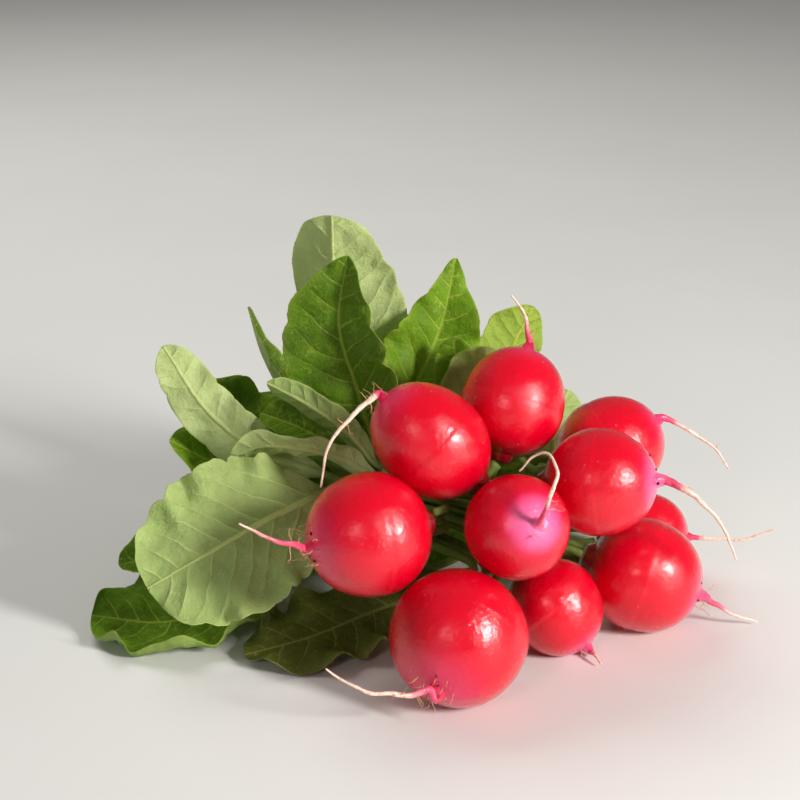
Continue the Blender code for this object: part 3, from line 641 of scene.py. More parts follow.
def down_the_middle(radish):
    """Places from the crown to the root's tip, the radius at each, and how far down bulb and root it is."""
    axis, centre = unit(radish["points"]), np.array(radish["centre"], float)
    half, radius, neck = radish["half"], radish["radius"], radish["root_width"] / 2
    angle = np.linspace(CROWN_CUT, math.pi - NECK_CUT, BULB_STATIONS)
    along = -half * np.cos(angle)
    crown_end, neck_end = CROWN_WIDTH / 2, neck * NECK_WIDTH
    least = np.where(along < 0, crown_end, neck_end)
    least = least + (neck_end - crown_end) * step(along, -half * 0.4, half * 0.4) * (along < 0)
    bulb_radii = np.hypot(radius * np.sin(angle), least)
    cap = np.linspace(0.1, 1, CAP_STATIONS + 1)[:-1]
    cap_points = crown_of(radish) + axis * (0.5 - 1.2 * cap[:, None])
    bulb_end = centre + axis * (half + neck * 1.5)
    root = smooth_route([bulb_end] + radish["root"])
    share = np.linspace(0, 1, ROOT_STATIONS)
    root_points = walk(root, share * length_of(root))
    root_radii = neck + (ROOT_TIP - neck) * share ** EARLY_THINNING
    points = np.vstack([cap_points, centre + axis * along[:, None], root_points])
    radii = np.concatenate([CROWN_WIDTH / 2 * cap, bulb_radii, root_radii])
    down = np.concatenate([cap * 0.01, np.interp(along, [-half, half], [0.01, 0.99]), 1 + share])
    rootward = np.concatenate([np.zeros(CAP_STATIONS + BULB_STATIONS), share])
    return points, radii, down, rootward


# %% The skin around it
AROUND = 72
NECK_AT = 0.985
BULGE, RIPPLE = 0.022, 0.006  # how uneven a bulb is, as shares of its radius
FURROW, FURROWS = 0.06, 3.5  # their depth as a share of the neck's radius, and half their number
KNOB = 0.22  # how knobbly a root is, as a share of its radius
ROOT_WANDER = 0.8
OFF_THE_TABLE = 0.03
# the least lilac, with its painted highlight, that a neck gets
FAINT_LILAC_AND_HIGHLIGHT = 0.1


def near_neck(down, width):
    return np.exp(-((down - NECK_AT) / width) ** 2)


def uneven(radii, rows, turn, down, rootward, seed):
    """The radius at each point of an uneven body with furrows at its neck and a knobbly root."""
    bulging = 1 + BULGE * grain(rows, 22.0, seed) + RIPPLE * grain(rows, 7.0, seed + 3)
    waves = np.abs(np.sin(turn * FURROWS + grain(rows[:, :1], 9.0, seed)))
    furrows = 1 - FURROW * near_neck(down, 0.05)[:, None] * waves
    knobs = 1 + KNOB * step(rootward, 0.0, 0.05)[:, None] * grain(rows, 1.6, seed + 5)
    return radii[:, None] * bulging * furrows * knobs


def skin_values(radish, points, rows, turn, down, rootward, seed):
    """What the mesh stores for its finish, its hairs and its soil."""
    full = np.broadcast_to(down[:, None], rows.shape[:2])
    turning = np.broadcast_arrays(np.cos(turn)[None], np.sin(turn)[None], down[:, None] * 2)
    blush = 1 - step(rootward + 0.08 * grain(points, 2.5, seed), radish["pink"] * 0.4, radish["pink"] * 1.3)
    at_neck = np.exp(-((down - 0.99) / 0.022) ** 2) + 0.75 * (rootward > 0) * (1 - step(rootward, 0.2, 0.75))
    patches = step(grain(rows, 3.2, seed + 21), 0.05, 0.45)
    return {
        "down": full, "turning": np.stack(turning, axis=-1),
        # lilac around the neck: partly the skin's own colour, partly a painted highlight
        "lilac_and_highlight": radish.get("lilac_and_highlight", FAINT_LILAC_AND_HIGHLIGHT) * step(full, 0.88, 0.98),
        "blush": np.broadcast_to(blush[:, None], full.shape),
        "hairy": np.clip(radish["hairs"] * at_neck[:, None] * (0.35 + patches), 0, 4),
        "soiled": radish["soil"] * near_neck(down, 0.03)[:, None] * patches}


def grow_radish(name, radish, seed):
    points, radii, down, rootward = down_the_middle(radish)
    points_sideways = abs(unit(radish["points"])[0]) >= 0.7
    steady = np.array([0.0, 1.0, 0.0] if points_sideways else [1.0, 0.0, 0.0])
    _, sideways, upper = carried_frames(points, steady, CAP_STATIONS + BULB_STATIONS // 2)
    turn = np.linspace(0, 2 * math.pi, AROUND, endpoint=False)
    spokes = sideways[:, None] * np.cos(turn)[:, None] + upper[:, None] * np.sin(turn)[:, None]
    rows = points[:, None] + spokes * radii[:, None, None]
    rows = points[:, None] + spokes * uneven(radii, rows, turn, down, rootward, seed)[..., None]
    root_points, share = points[-ROOT_STATIONS:], rootward[-ROOT_STATIONS:]
    wander = np.stack([grain(root_points, 7.0, seed + 9 + k) for k in range(3)], axis=1)
    rows[-ROOT_STATIONS:] += (wander * ROOT_WANDER * step(share, 0.03, 0.3)[:, None])[:, None]
    rows[..., 2] = np.maximum(rows[..., 2], OFF_THE_TABLE)
    return mesh_from_rows(name, rows, skin_values(radish, points, rows, turn, down, rootward, seed), "fan")


# %% All ten radishes
skins = []
for seed, (name, radish) in enumerate(RADISHES.items()):
    mesh = grow_radish(name + "_skin", radish, seed)
    piece = place_piece(name + "_skin", mesh, skin, name)
    skins.append(piece)
    print(piece.name, len(mesh.polygons), "faces,", far_from_cad(piece, name), "mm from its CAD box")

# %% [markdown]
# ## The finishes of the leaves
# A leaf is green above and much paler below, where it is also felted and dull. Light passes through it, so
# a part of what its shader shows is light from behind, in a strong yellow green. The ribs are paler still.
# Between the ribs runs a net of fine veins, made here by cells with pale walls, which also dents the
# surface. The mesh says which side a point is on and how near it is to a rib, so colours follow the shape,
# and its value `phase` counts the side veins, which lets the shader draw them sharper than the faces could.

# %% Leaf finishes
SEEN_THROUGH = 0.32  # the share of a blade's look that is light from behind it


def leaf_finish(name, above, below, rib, stain, through):
    material, tree, shader = new_finish(name)
    place = put(tree, "ShaderNodeTexCoord", {}).outputs["Object"]
    under = read(tree, "under").outputs["Fac"]
    vein = read(tree, "vein").outputs["Fac"]
    stalk = read(tree, "stalk").outputs["Fac"]
    edge = read(tree, "edge").outputs["Fac"]
    across = read(tree, "across").outputs["Fac"]
    off_vein = reckon(tree, "PINGPONG", reckon(tree, "ADD", read(tree, "phase").outputs["Fac"], 100.0), 0.5)
    off_vein = reckon(tree, "MULTIPLY_ADD", cloud(tree, place, 420.0, 2.0), 0.05, off_vein)
    taper = pick(tree, across, 0.3, 1.0, 1.0, 0.45)
    side_vein = pick(tree, reckon(tree, "DIVIDE", off_vein, taper), 0.04, 0.075, 1.0, 0.0)
    side_vein = reckon(tree, "MULTIPLY", side_vein, pick(tree, across, 0.80, 0.97, 1.0, 0.0))
    side_vein = reckon(tree, "MULTIPLY", side_vein, reckon(tree, "SUBTRACT", 1.0, stalk))
    warped = mix(tree, 0.0022, place, put(tree, "ShaderNodeTexNoise", {
        "Vector": place, "Scale": 300.0, "Detail": 2.0}).outputs["Color"], "LINEAR_LIGHT")
    branches = put(tree, "ShaderNodeTexVoronoi", {"Vector": warped, "Scale": 230.0},
                   feature="DISTANCE_TO_EDGE").outputs["Distance"]
    branches = pick(tree, branches, 0.012, 0.04, 1.0, 0.0)
    net = put(tree, "ShaderNodeTexVoronoi", {"Vector": warped, "Scale": 720.0},
              feature="DISTANCE_TO_EDGE").outputs["Distance"]
    walls = reckon(tree, "MAXIMUM", pick(tree, net, 0.0, 0.09, 0.45, 0.0), branches)
    patchy = cloud(tree, place, 75.0, 4.0, 0.6)
    top = mix(tree, pick(tree, patchy, 0.35, 0.68), above, [part * 0.72 for part in above[:3]] + [1.0])
    bottom = mix(tree, pick(tree, patchy, 0.35, 0.7), below, [part * 0.84 for part in below[:3]] + [1.0])
    colour = mix(tree, under, top, bottom)
    colour = mix(tree, reckon(tree, "MULTIPLY", walls, 0.32), colour, rib)
    colour = mix(tree, reckon(tree, "MULTIPLY", edge, 0.35), colour, rib)
    spots = pick(tree, cloud(tree, place, 330.0, 3.0, 0.7), 0.66, 0.74, 0.0, 0.55)
    colour = mix(tree, spots, colour, stain)
    side_vein = reckon(tree, "MULTIPLY", side_vein, pick(tree, under, 0.0, 1.0, 0.6, 0.9))
    colour = mix(tree, reckon(tree, "MAXIMUM", vein, side_vein), colour, rib)
    stalk_colour = mix(tree, cloud(tree, place, 160.0, 3.0), paint(96, 118, 44), paint(134, 144, 74))
    colour = mix(tree, stalk, colour, stalk_colour)
    height = reckon(tree, "ADD", reckon(tree, "MULTIPLY", walls, -0.7), cloud(tree, place, 1500.0, 2.0))
    relief = raise_by(tree, height, 0.00013)
    relief = raise_by(tree, cloud(tree, place, 330.0, 2.0), 0.0006, relief)
    relief = raise_by(tree, side_vein, 0.00008, relief)
    fill(tree, shader, {
        "Base Color": colour, "Normal": relief,
        "Roughness": pick(tree, cloud(tree, place, 420.0, 3.0), 0.3, 0.7, 0.42, 0.62),
        "Specular IOR Level": 0.25})
    lit = put(tree, "ShaderNodeBsdfTranslucent", {
        "Color": mix(tree, reckon(tree, "MULTIPLY", vein, 0.8), through, rib), "Normal": relief})
    both = put(tree, "ShaderNodeMixShader", {
        0: SEEN_THROUGH, 1: shader.outputs[0], 2: lit.outputs[0]})
    tree.links.new(both.outputs[0], tree.nodes["Material Output"].inputs["Surface"])
    return material


FINISHES = {
    "sunlit_leaf": leaf_finish("sunlit_leaf", paint(136, 170, 60), paint(218, 234, 160), paint(228, 236, 160),
                               paint(140, 150, 76), paint(204, 226, 110)),
    "pale_leaf": leaf_finish("pale_leaf", paint(122, 158, 48), paint(188, 212, 128), paint(222, 234, 150),
                             paint(122, 134, 58), paint(170, 206, 60)),
    "green_leaf": leaf_finish("green_leaf", paint(100, 138, 26), paint(158, 180, 100), paint(188, 204, 84),
                              paint(100, 98, 30), paint(146, 190, 20)),
    "bright_leaf": leaf_finish("bright_leaf", paint(122, 164, 30), paint(170, 196, 78), paint(200, 214, 88),
                               paint(116, 116, 38), paint(166, 206, 22)),
    "old_leaf": leaf_finish("old_leaf", paint(98, 108, 38), paint(150, 148, 88), paint(176, 170, 96),
                            paint(90, 64, 36), paint(128, 136, 36)),
}

# %% [markdown]
# ## Growing a leaf
# A leaf is one body: a juicy, half round stalk that thins out into the middle rib of a blade less than half
# a millimetre thick. It is made as rows across the leaf. Each row starts as a line of points at both sides
# of the rib, which rises by the leaf's fold and rolls on by its curl. The outline, with its lobes and
# notches, gives the row its width. Waves lift the margin. Then the row gets its thickness: on the lower side
# the rib and its branches stand out, on the upper side they are sunk, and the blade swells between them.
# Modelling the veins, and not only painting them, makes them catch the light from any side.

# %% The lines of a leaf
def place_in_pack(tied):
    """How far a stalk's place in the pack is from the middle of the band."""
    row, column = tied
    across = unit(np.cross(TIE_AXIS, UP))
    above = unit(np.cross(across, TIE_AXIS))
    right = (column - (ROWS[row] - 1) / 2) * STALK_PITCH
    up = ((len(ROWS) - 1) / 2 - row) * STALK_PITCH * math.sqrt(0.75)
    return across * right + above * up


def flat_to(vector, out):
    """The part of a vector that lies square to a direction, made one long."""
    return unit(np.array(vector) - np.dot(vector, out) * out)


def leaf_route(leaf):
    """The middle line of a leaf, from its foot on the crown to its tip."""
    radish = RADISHES[leaf["of"]]
    out, along, crown = -unit(radish["points"]), unit(TIE_AXIS), crown_of(radish)
    sisters = [other for other in LEAVES.values() if other["of"] == leaf["of"]]
    packed = [place_in_pack(other["tied"]) for other in sisters if "tied" in other]
    loose = [flat_to(np.array(other["route"][0]) - crown, out) for other in sisters if "tied" not in other]
    rest = [np.array(point, float) for point in leaf["route"]]
    if "tied" in leaf:
        spot = place_in_pack(leaf["tied"])
        spread = spot - sum(packed) / len(packed)
        through_band = [TIE_AT + spot + along * STALK_REACH * share for share in (-1, 0, 1)]
        rest = [np.array(via) + spread for via in radish.get("stalks", [])] + through_band + rest
        toward = unit(rest[0] - spread - crown)
        lean = unit(out + LEAN * toward)
        beside = turn_onto(turn_onto(spread, along, toward), toward, unit(lean + toward))
        at_foot = turn_onto(beside, unit(lean + toward), out)
        if loose:
            apart = sum(loose) * STALK_PITCH / 2
            beside, at_foot = beside - apart, at_foot - apart
    else:
        toward = unit(rest[0] - crown)
        lean = unit(out + LEAN * toward)
        at_foot = flat_to(toward, out) * STALK_PITCH * LOOSE_SPREAD
        beside = at_foot
    foot = crown + out * CROWN_GAP
    return smooth_route([foot + at_foot, foot + lean * CROWN_REACH + beside] + rest)


# %% The outline of a blade
# half its width as a share of the widest, from its foot, at 0, to its tip, at 1
OUTLINES = {
    "spoon": ((0, 0.07), (0.12, 0.17), (0.3, 0.34), (0.45, 0.66), (0.62, 0.96), (0.75, 1.0), (0.88, 0.84),
              (0.95, 0.6), (0.985, 0.34), (1, 0.03)),
    "round": ((0, 0.06), (0.08, 0.36), (0.2, 0.7), (0.35, 0.92), (0.55, 1.0), (0.75, 0.92), (0.9, 0.68),
              (0.96, 0.46), (0.99, 0.24), (1, 0.03)),
    "egg": ((0, 0.08), (0.1, 0.5), (0.25, 0.85), (0.45, 1.0), (0.6, 0.93), (0.72, 0.78), (0.84, 0.54),
            (0.93, 0.31), (0.98, 0.15), (1, 0.03)),
    "spear": ((0, 0.08), (0.1, 0.45), (0.25, 0.85), (0.4, 1.0), (0.55, 0.88), (0.71, 0.64), (0.84, 0.38),
              (0.93, 0.2), (0.98, 0.1), (1, 0.03)),
    "strap": ((0, 0.12), (0.12, 0.45), (0.3, 0.82), (0.5, 1.0), (0.75, 0.95), (0.9, 0.75), (0.96, 0.5),
              (0.99, 0.24), (1, 0.03)),
}
VEINS_ALONG = 8.5  # how many side veins leave the middle rib on each side
CLOSEST_VEINS = 5.0
VEIN_SLANT = 0.55  # how far a side vein runs towards the tip for each millimetre outwards
VEIN_CURVE = 0.016  # and how it bends further towards the tip as it nears the margin


def vein_spacing(leaf):
    return max(CLOSEST_VEINS, leaf["blade"] / VEINS_ALONG)


def vein_phase(a, b, side, spacing, seed):
    """Which side vein a point is nearest to, as a number that is whole on a vein. a: along, b: across, mm."""
    shape = np.broadcast_shapes(a.shape, b.shape)
    flat = np.stack(np.broadcast_arrays(a, b * side, 0 * a), axis=-1).reshape(*shape, 3)
    bent = 0.42 * grain(flat, 19.0, seed) + 0.1 * grain(flat, 5.0, seed + 1)
    return (a - VEIN_SLANT * b - VEIN_CURVE * b * b) / spacing + 0.25 * (1 + side) + bent


def margin(blade, side, leaf, seed):
    """The share of its full width that the blade has at each station on one side."""
    outline = smooth_route([(x, y, 0) for x, y in OUTLINES[leaf.get("outline", "spoon")]])
    share = np.interp(blade, outline[:, 0], outline[:, 1])
    lobes = blade * leaf["blade"] / (vein_spacing(leaf) * 1.1) + 0.31 * side + 0.15 * seed
    line = np.stack([blade * 6, blade * 0 + side, blade * 0], axis=-1)
    lobes = lobes + 0.6 * grain(line, 1.0, seed + 2)
    deeper = np.clip(1 + 1.6 * grain(line, 0.8, seed + 3), 0.2, 2.4)
    notch = leaf["notch"] * (0.55 * deeper + 1.6 * (1 - step(blade, 0.02, 0.25)))
    share = share * (1 - notch * (1 - np.abs(np.sin(math.pi * lobes))) ** 1.6)
    return share * (1 + 0.035 * grain(line, 0.45, seed + 5) + 0.012 * grain(line, 0.09, seed + 4))


# %% One half of a leaf
BLADE_HALF_THICKNESS = 0.2
BLADE_FOOT = 0.2  # the share of the blade over which the stalk flattens out into it
COLUMN_CROWDING = 1.25  # above 1, columns stand closer together near the rib, and rows near the tip
VEIN_PITCH = 0.85  # the gap between two veins across their slant, as a share of their spacing
PUFFINESS = 0.5  # how far the blade swells between two veins, in millimetres
WAVE_LENGTH = 17.0
CRUMPLE = 2.2
RIB_BELOW, RIB_ABOVE = 0.5, 0.34  # how far the stalk stands out, as a share of its width
VEIN_BELOW, VEIN_ABOVE = 0.22, -0.1


def half_of_leaf(leaf, side, seed, a, x, frames):
    """One side of the rib. a: distances into the blade. x: shares of its half width. It returns the points
    of the sheet, how far the skin lies below and above them, and three values for the finish."""
    points, sideways, upper = frames
    blade = a[:, 0] / leaf["blade"]
    on_blade = np.clip(blade / BLADE_FOOT, 0, 1)[:, None]
    rib = np.interp(blade, [0, 0.25, 1], [1.0, 0.72, 0.2])[:, None]
    widest = np.where(blade > 0, leaf["width"] / 2 * margin(blade, side, leaf, seed), 0)
    half_width = np.maximum(STALK_WIDTH / 2 * rib[:, 0], widest)[:, None]
    b = half_width * x
    # the fold at the rib, the curl of the whole half and the roll of its margin
    roll = leaf.get("roll", (0, 0))[0 if side < 0 else 1]
    lean = on_blade * (leaf["fold"] + leaf["curl"] * x + roll * step(x, 0.62, 1.0))
    step_out = np.diff(b, axis=1, prepend=0)
    outward = np.cumsum(np.cos(lean) * step_out, axis=1)
    upward = np.cumsum(np.sin(lean) * step_out, axis=1)
    # the side veins and the blade that swells between them
    spacing = vein_spacing(leaf)
    phase = vein_phase(a, b, side, spacing, seed)
    off_vein = np.abs(phase - np.round(phase)) * spacing * VEIN_PITCH
    fade = on_blade * (1 - step(x, 0.72, 0.98)) * step(b, 0.0, 1.5)
    side_vein = np.exp(-(off_vein / np.interp(x, [0, 1], [0.5, 0.2])) ** 2) * fade
    swell = on_blade * np.sin(np.pi * np.clip(off_vein / (spacing * VEIN_PITCH / 2), 0, 1) / 2)
    swell = swell * step(b, 0, 4) * (1 - 0.6 * x ** 3) * PUFFINESS
    # the waves of the margin and the crumples of the whole blade
    flat = np.stack(np.broadcast_arrays(a, b * side, 0 * b), axis=-1)
    wave = np.sin(2 * math.pi * a / WAVE_LENGTH + side + seed + 2.2 * grain(flat, 14.0, seed + 6))
    waving = on_blade * leaf["ruffle"] * (x ** 2.2) * wave * np.clip(half_width / 9, 0.2, 1)
    waving = waving + on_blade * CRUMPLE * grain(flat, 13.0, seed + 8) * step(b, 0, 6)
    sheet = points[:, None] + sideways[:, None] * (side * outward)[..., None]
    sheet = sheet + upper[:, None] * (upward + swell + waving)[..., None]
    # the round rib stands out below, and hardly above
    in_rib = np.sqrt(np.clip(1 - (b / (STALK_WIDTH / 2 * rib)) ** 2, 0, 1))
    stalk_above = rib * STALK_WIDTH * RIB_ABOVE * in_rib * (1 - 0.85 * on_blade)
    below = BLADE_HALF_THICKNESS + rib * STALK_WIDTH * RIB_BELOW * in_rib + VEIN_BELOW * side_vein
    above = BLADE_HALF_THICKNESS + stalk_above + VEIN_ABOVE * side_vein
    thin_edge = 1 - 0.55 * step(x, 0.9, 1.0)
    on_rib = step(in_rib, 0.0, 0.35) * on_blade
    return sheet, below * thin_edge, above * thin_edge, on_rib, np.broadcast_to(x, b.shape), phase


# %% A leaf's rows
FACE_SIZE = 0.8
STALK_STEP = 1.6
LEAST_HEIGHT = 0.15  # what lies on the table stays just above it


def on_both_sides(value):
    """The same values for the upper side and then, backwards, for the lower side of a row."""
    return np.concatenate([value, value[:, ::-1]], axis=1)


def grow_leaf(name, leaf, seed):
    face_size = leaf.get("fine", FACE_SIZE)
    route = leaf_route(leaf)
    stalk = length_of(route) - leaf["blade"]
    t = np.linspace(0, 1, round(leaf["blade"] / face_size) + 1)
    distances = np.append(np.linspace(0, stalk, round(stalk / STALK_STEP) + 1)[:-1],
                          stalk + leaf["blade"] * (1 - (1 - t) ** COLUMN_CROWDING))
    points = walk(route, distances)
    middle = int(np.searchsorted(distances, stalk + leaf["blade"] * 3 / 7))
    _, sideways, upper = carried_frames(points, leaf["faces"], middle)
    a = (distances - stalk)[:, None]
    columns = max(8, round(leaf["width"] / 2 / face_size * 1.1))
    x = np.linspace(0, 1, columns + 1) ** COLUMN_CROWDING
    left, right = [half_of_leaf(leaf, side, seed, a, x, (points, sideways, upper)) for side in (-1.0, 1.0)]
    joined = [np.concatenate([l[:, :0:-1], r], axis=1) for l, r in zip(left, right)]
    sheet, below, above, on_rib, outwards, phase = joined
    normal = np.cross(np.gradient(sheet, axis=1), np.gradient(sheet, axis=0))
    normal /= np.maximum(np.linalg.norm(normal, axis=2), 1e-9)[..., None]
    normal *= np.sign(np.einsum("ijk,ik->ij", normal, upper).mean(1))[:, None, None]
    upper_skin = sheet + normal * above[..., None]
    lower_skin = sheet - normal * below[..., None]
    rows = np.concatenate([upper_skin, lower_skin[:, ::-1]], axis=1)
    rows[..., 2] = np.maximum(rows[..., 2], LEAST_HEIGHT)
    under = np.concatenate([np.zeros_like(below), np.ones_like(below)], axis=1)
    blade = a / leaf["blade"]
    values = {
        "under": under, "vein": on_both_sides(on_rib) * (0.55 + 0.45 * under),
        "edge": on_both_sides(outwards ** 14) * np.clip(blade / BLADE_FOOT, 0, 1),
        "phase": on_both_sides(phase), "across": on_both_sides(outwards),
        "stalk": np.broadcast_to(1 - step(blade, -0.05, 0.12), under.shape)}
    return mesh_from_rows(name, rows, values, "strip")


# %% All the leaves
for seed, (name, leaf) in enumerate(LEAVES.items()):
    mesh = grow_leaf(name + "_blade", leaf, seed)
    piece = place_piece(name + "_blade", mesh, FINISHES[leaf["finish"]], name)
    print(piece.name, len(mesh.polygons), "faces,", far_from_cad(piece, name), "mm from its CAD box")

# %% [markdown]
# ## The rubber band
# One loop of tan rubber, doubled over until it holds, so that it goes round the stalks three times. Its
# strands lie side by side and one crosses over the others. The strand is a small rounded strip, swept
# around an oval.

# %% Rubber finish
rubber, tree, shader = new_finish("tan_rubber")
place = put(tree, "ShaderNodeTexCoord", {}).outputs["Object"]
tan = mix(tree, cloud(tree, place, 400.0, 3.0), paint(196, 158, 104), paint(172, 130, 80))
dusty = pick(tree, cloud(tree, place, 1400.0, 3.0, 0.7), 0.55, 0.7, 0.0, 0.5)
fill(tree, shader, {
    "Base Color": mix(tree, dusty, tan, paint(214, 190, 150)),
    "Roughness": pick(tree, dusty, 0.0, 0.5, 0.45, 0.75),
    "Normal": raise_by(tree, cloud(tree, place, 1800.0, 3.0), 0.00006)})

# %% Winding the band
BAND_HOLE = (12.8, 11.2)
BAND_TURNS = 3
STRAND = (0.62, 0.5)  # half the width and thickness of a strand
BAND_SPREAD = 1.45
STRAND_SIDES = 12
CROSSES_BACK = (0.93, 0.99)  # where, on its way round, the last turn runs back over the others
HUMP = 0.62  # how far it rises there
SLACK = 0.55  # between the band's hole and the middle of a strand

along, across = unit(TIE_AXIS), unit(np.cross(TIE_AXIS, UP))
above = unit(np.cross(across, along))
steps = 96 * BAND_TURNS
u = np.linspace(0, 1, steps, endpoint=False)
turn = 2 * math.pi * BAND_TURNS * u
crossing = step(u, *CROSSES_BACK)
side_shift = np.interp(u, [0, CROSSES_BACK[0]], [-BAND_SPREAD, BAND_SPREAD])
side_shift = side_shift * (1 - crossing) - BAND_SPREAD * crossing
lift = HUMP * np.exp(-((u - 0.96) / 0.03) ** 2)
outwards = across * np.cos(turn)[:, None] + above * np.sin(turn)[:, None]
line = TIE_AT + along * side_shift[:, None]
line = line + across * (np.cos(turn) * (BAND_HOLE[0] + SLACK + lift))[:, None]
line = line + above * (np.sin(turn) * (BAND_HOLE[1] + SLACK + lift))[:, None]
around = np.linspace(0, 2 * math.pi, STRAND_SIDES, endpoint=False)
wide = np.sign(np.cos(around)) * np.abs(np.cos(around)) ** 0.6 * STRAND[0]
thick = np.sign(np.sin(around)) * np.abs(np.sin(around)) ** 0.6 * STRAND[1]
rows = line[:, None] + along * wide[None, :, None] + outwards[:, None] * thick[None, :, None]
rows = np.concatenate([rows, rows[:1]])
band_mesh = mesh_from_rows("rubber_band_strands", rows, {}, "fan")
band = place_piece("rubber_band_strands", band_mesh, rubber, "rubber_band")
print(band.name, len(band_mesh.polygons), "faces,", far_from_cad(band, "rubber_band"), "mm from its CAD box")

# %% [markdown]
# ## Root hairs and crumbs of soil
# Fine side roots sprout from each tap root, and dark crumbs stay in the folds where it leaves the bulb.
# There are hundreds of them, all alike, all following a surface: this is what Geometry Nodes are for. Points
# are scattered over the skins, more of them where the stored value `hairy` or `soiled` is high. On each
# point stands a short curve, which noise then bends more and more towards its tip, or a small rough stone.
# The tree ends in real geometry, which is turned into a plain mesh, and the modifier goes.

# %% All skins as one surface
def joined_copy(pieces):
    copies = []
    for piece in pieces:
        copy = bpy.data.objects.new("copy", piece.data.copy())
        bpy.context.scene.collection.objects.link(copy)
        copies.append(copy)
    with bpy.context.temp_override(
            active_object=copies[0], object=copies[0], selected_objects=copies,
            selected_editable_objects=copies):
        bpy.ops.object.join()
    return copies[0]


surface = joined_copy(skins)
print("surface to grow on:", len(surface.data.polygons), "faces")


# %% A tree with named inputs
def new_tree(name, sizes):
    """A geometry tree with a mesh in, a mesh out and a named number input for each size."""
    tree = bpy.data.node_groups.new(name, "GeometryNodeTree")
    tree.interface.new_socket("Surface", in_out="INPUT", socket_type="NodeSocketGeometry")
    tree.interface.new_socket("Geometry", in_out="OUTPUT", socket_type="NodeSocketGeometry")
    for size in sizes:
        tree.interface.new_socket(size, in_out="INPUT", socket_type="NodeSocketFloat")
    return tree, tree.nodes.new("NodeGroupInput"), tree.nodes.new("NodeGroupOutput")


def grown_mesh(name, surface, tree, sizes):
    """Run a tree on the surface with these sizes, and keep the result as a plain mesh."""
    modifier = surface.modifiers.new(name, "NODES")
    modifier.node_group = tree
    sockets = {item.name: item.identifier for item in tree.interface.items_tree if item.in_out == "INPUT"}
    for size, value in sizes.items():
        modifier[sockets[size]] = value
    graph = bpy.context.evaluated_depsgraph_get()
    mesh = bpy.data.meshes.new_from_object(surface.evaluated_get(graph), depsgraph=graph)
    surface.modifiers.remove(modifier)
    mesh.name = name
    return mesh


def scattered(tree, start, density, attribute, seed):
    """Points on the surface, the denser the higher its stored value is."""
    stored = put(tree, "GeometryNodeInputNamedAttribute", {"Name": attribute}).outputs["Attribute"]
    return put(tree, "GeometryNodeDistributePointsOnFaces", {
        "Mesh": start.outputs["Surface"], "Density": reckon(tree, "MULTIPLY", start.outputs[density], stored),
        "Seed": seed})


def one_on_each(tree, points, thing, smallest, largest, seed):
    """A thing of random size on each point, as real geometry."""
    size = put(tree, "FunctionNodeRandomValue", {2: smallest, 3: largest, "Seed": seed}).outputs[1]
    placed = put(tree, "GeometryNodeInstanceOnPoints", {
        "Points": points.outputs["Points"], "Instance": thing, "Rotation": points.outputs["Rotation"],
        "Scale": size})
    return put(tree, "GeometryNodeRealizeInstances", {"Geometry": placed.outputs[0]}).outputs[0]


def pushed_about(tree, geometry, scale, reach):
    """Every point of a geometry moved by noise, at most by half the reach."""
    here = put(tree, "GeometryNodeInputPosition", {}).outputs[0]
    noisy = put(tree, "ShaderNodeTexNoise", {"Vector": here, "Scale": scale, "Detail": 1.0}).outputs["Color"]
    even = put(tree, "ShaderNodeVectorMath", {0: noisy, 1: (0.5, 0.5, 0.5)}, operation="SUBTRACT")
    offset = put(tree, "ShaderNodeVectorMath", {0: even.outputs[0], "Scale": reach}, operation="SCALE")
    return put(tree, "GeometryNodeSetPosition", {
        "Geometry": geometry, "Offset": offset.outputs[0]}).outputs[0]


def painted(tree, geometry, finish, end):
    """The last nodes of a tree: the finish, and the way out."""
    finished = put(tree, "GeometryNodeSetMaterial", {"Geometry": geometry, "Material": finish})
    tree.links.new(finished.outputs[0], end.inputs[0])


# %% Hair finish and hairs
hair_finish, tree, shader = new_finish("root_hair")
place = put(tree, "ShaderNodeTexCoord", {}).outputs["Object"]
fill(tree, shader, {
    "Base Color": mix(tree, cloud(tree, place, 350.0, 2.0), paint(226, 180, 140), paint(184, 112, 70)),
    "Roughness": pick(tree, cloud(tree, place, 900.0), 0.3, 0.7, 0.5, 0.75)})

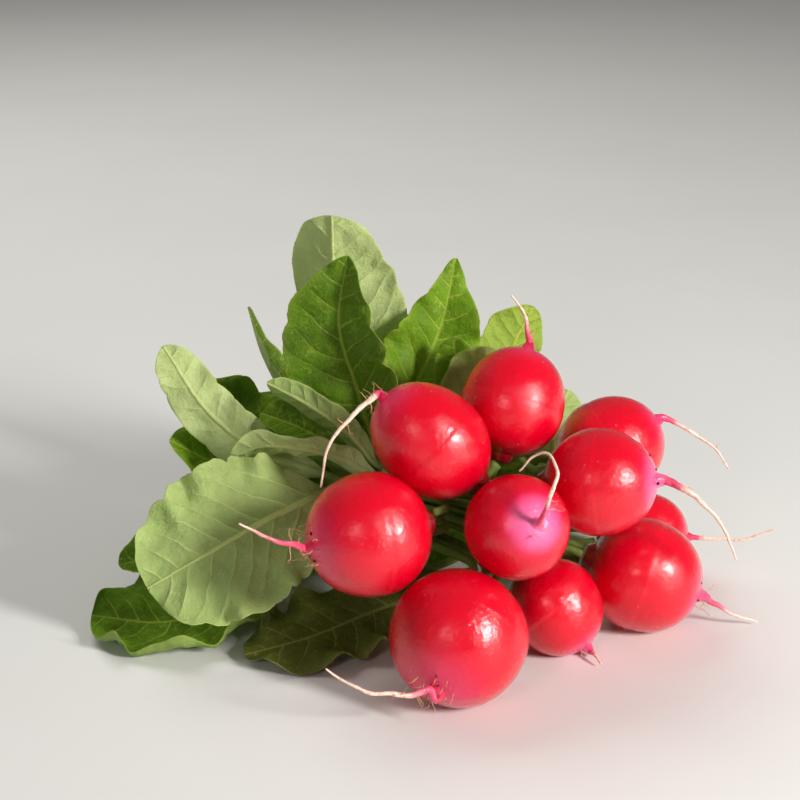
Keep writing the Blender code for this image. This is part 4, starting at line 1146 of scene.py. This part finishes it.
hair_sizes = {
    "Hairs per m2": 150000.0, "Shortest": 0.0010, "Longest": 0.0060, "Thickness": 0.00017, "Curl": 0.007}
tree, start, end = new_tree("root_hairs", hair_sizes)
points = scattered(tree, start, "Hairs per m2", "hairy", 4)
straight = put(tree, "GeometryNodeCurvePrimitiveLine", {"End": (0, 0, 1)})
jointed = put(tree, "GeometryNodeResampleCurve", {"Curve": straight.outputs[0], "Count": 11})
standing = one_on_each(
    tree, points, jointed.outputs[0], start.outputs["Shortest"], start.outputs["Longest"], 7)
along_hair = put(tree, "GeometryNodeSplineParameter", {}).outputs["Factor"]
tipward = reckon(tree, "POWER", along_hair, 1.3)
curled = pushed_about(tree, standing, 420.0, reckon(tree, "MULTIPLY", tipward, start.outputs["Curl"]))
thin = put(tree, "ShaderNodeMapRange", {"Value": tipward, "To Min": 1.0, "To Max": 0.25})
profile = put(tree, "GeometryNodeCurvePrimitiveCircle", {
    "Resolution": 4, "Radius": start.outputs["Thickness"]})
tube = put(tree, "GeometryNodeCurveToMesh", {
    "Curve": curled, "Profile Curve": profile.outputs[0], "Scale": thin.outputs[0], "Fill Caps": True})
painted(tree, tube.outputs[0], hair_finish, end)
hair_mesh = grown_mesh("root_hairs", surface, tree, hair_sizes)
print("root hairs:", len(hair_mesh.polygons), "faces")

# %% Soil finish and crumbs
soil_finish, tree, shader = new_finish("soil")
place = put(tree, "ShaderNodeTexCoord", {}).outputs["Object"]
fill(tree, shader, {
    "Base Color": mix(tree, cloud(tree, place, 1200.0, 2.0), paint(52, 34, 24), paint(20, 13, 10)),
    "Roughness": pick(tree, cloud(tree, place, 900.0), 0.3, 0.7, 0.75, 0.95)})

soil_sizes = {"Crumbs per m2": 420000.0, "Smallest": 0.00012, "Largest": 0.00055, "Roughness": 0.0005}
tree, start, end = new_tree("soil_crumbs", soil_sizes)
points = scattered(tree, start, "Crumbs per m2", "soiled", 11)
stone = put(tree, "GeometryNodeMeshIcoSphere", {"Radius": 1.0, "Subdivisions": 1})
strewn = one_on_each(
    tree, points, stone.outputs[0], start.outputs["Smallest"], start.outputs["Largest"], 3)
broken = pushed_about(tree, strewn, 2400.0, start.outputs["Roughness"])
painted(tree, broken, soil_finish, end)
soil_mesh = grown_mesh("soil_crumbs", surface, tree, soil_sizes)
print("soil crumbs:", len(soil_mesh.polygons), "faces")

# %% They take their place
bpy.data.objects.remove(surface)
for name, mesh in (("root_hairs", hair_mesh), ("soil_crumbs", soil_mesh)):
    places = np.array([vertex.co for vertex in mesh.vertices])
    places[:, 2] = np.maximum(places[:, 2], 0.00005)
    mesh.vertices.foreach_set("co", places.astype(np.float32).ravel())
    piece = bpy.data.objects.new(name, mesh)
    bpy.context.scene.collection.objects.link(piece)
    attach(piece, "root")
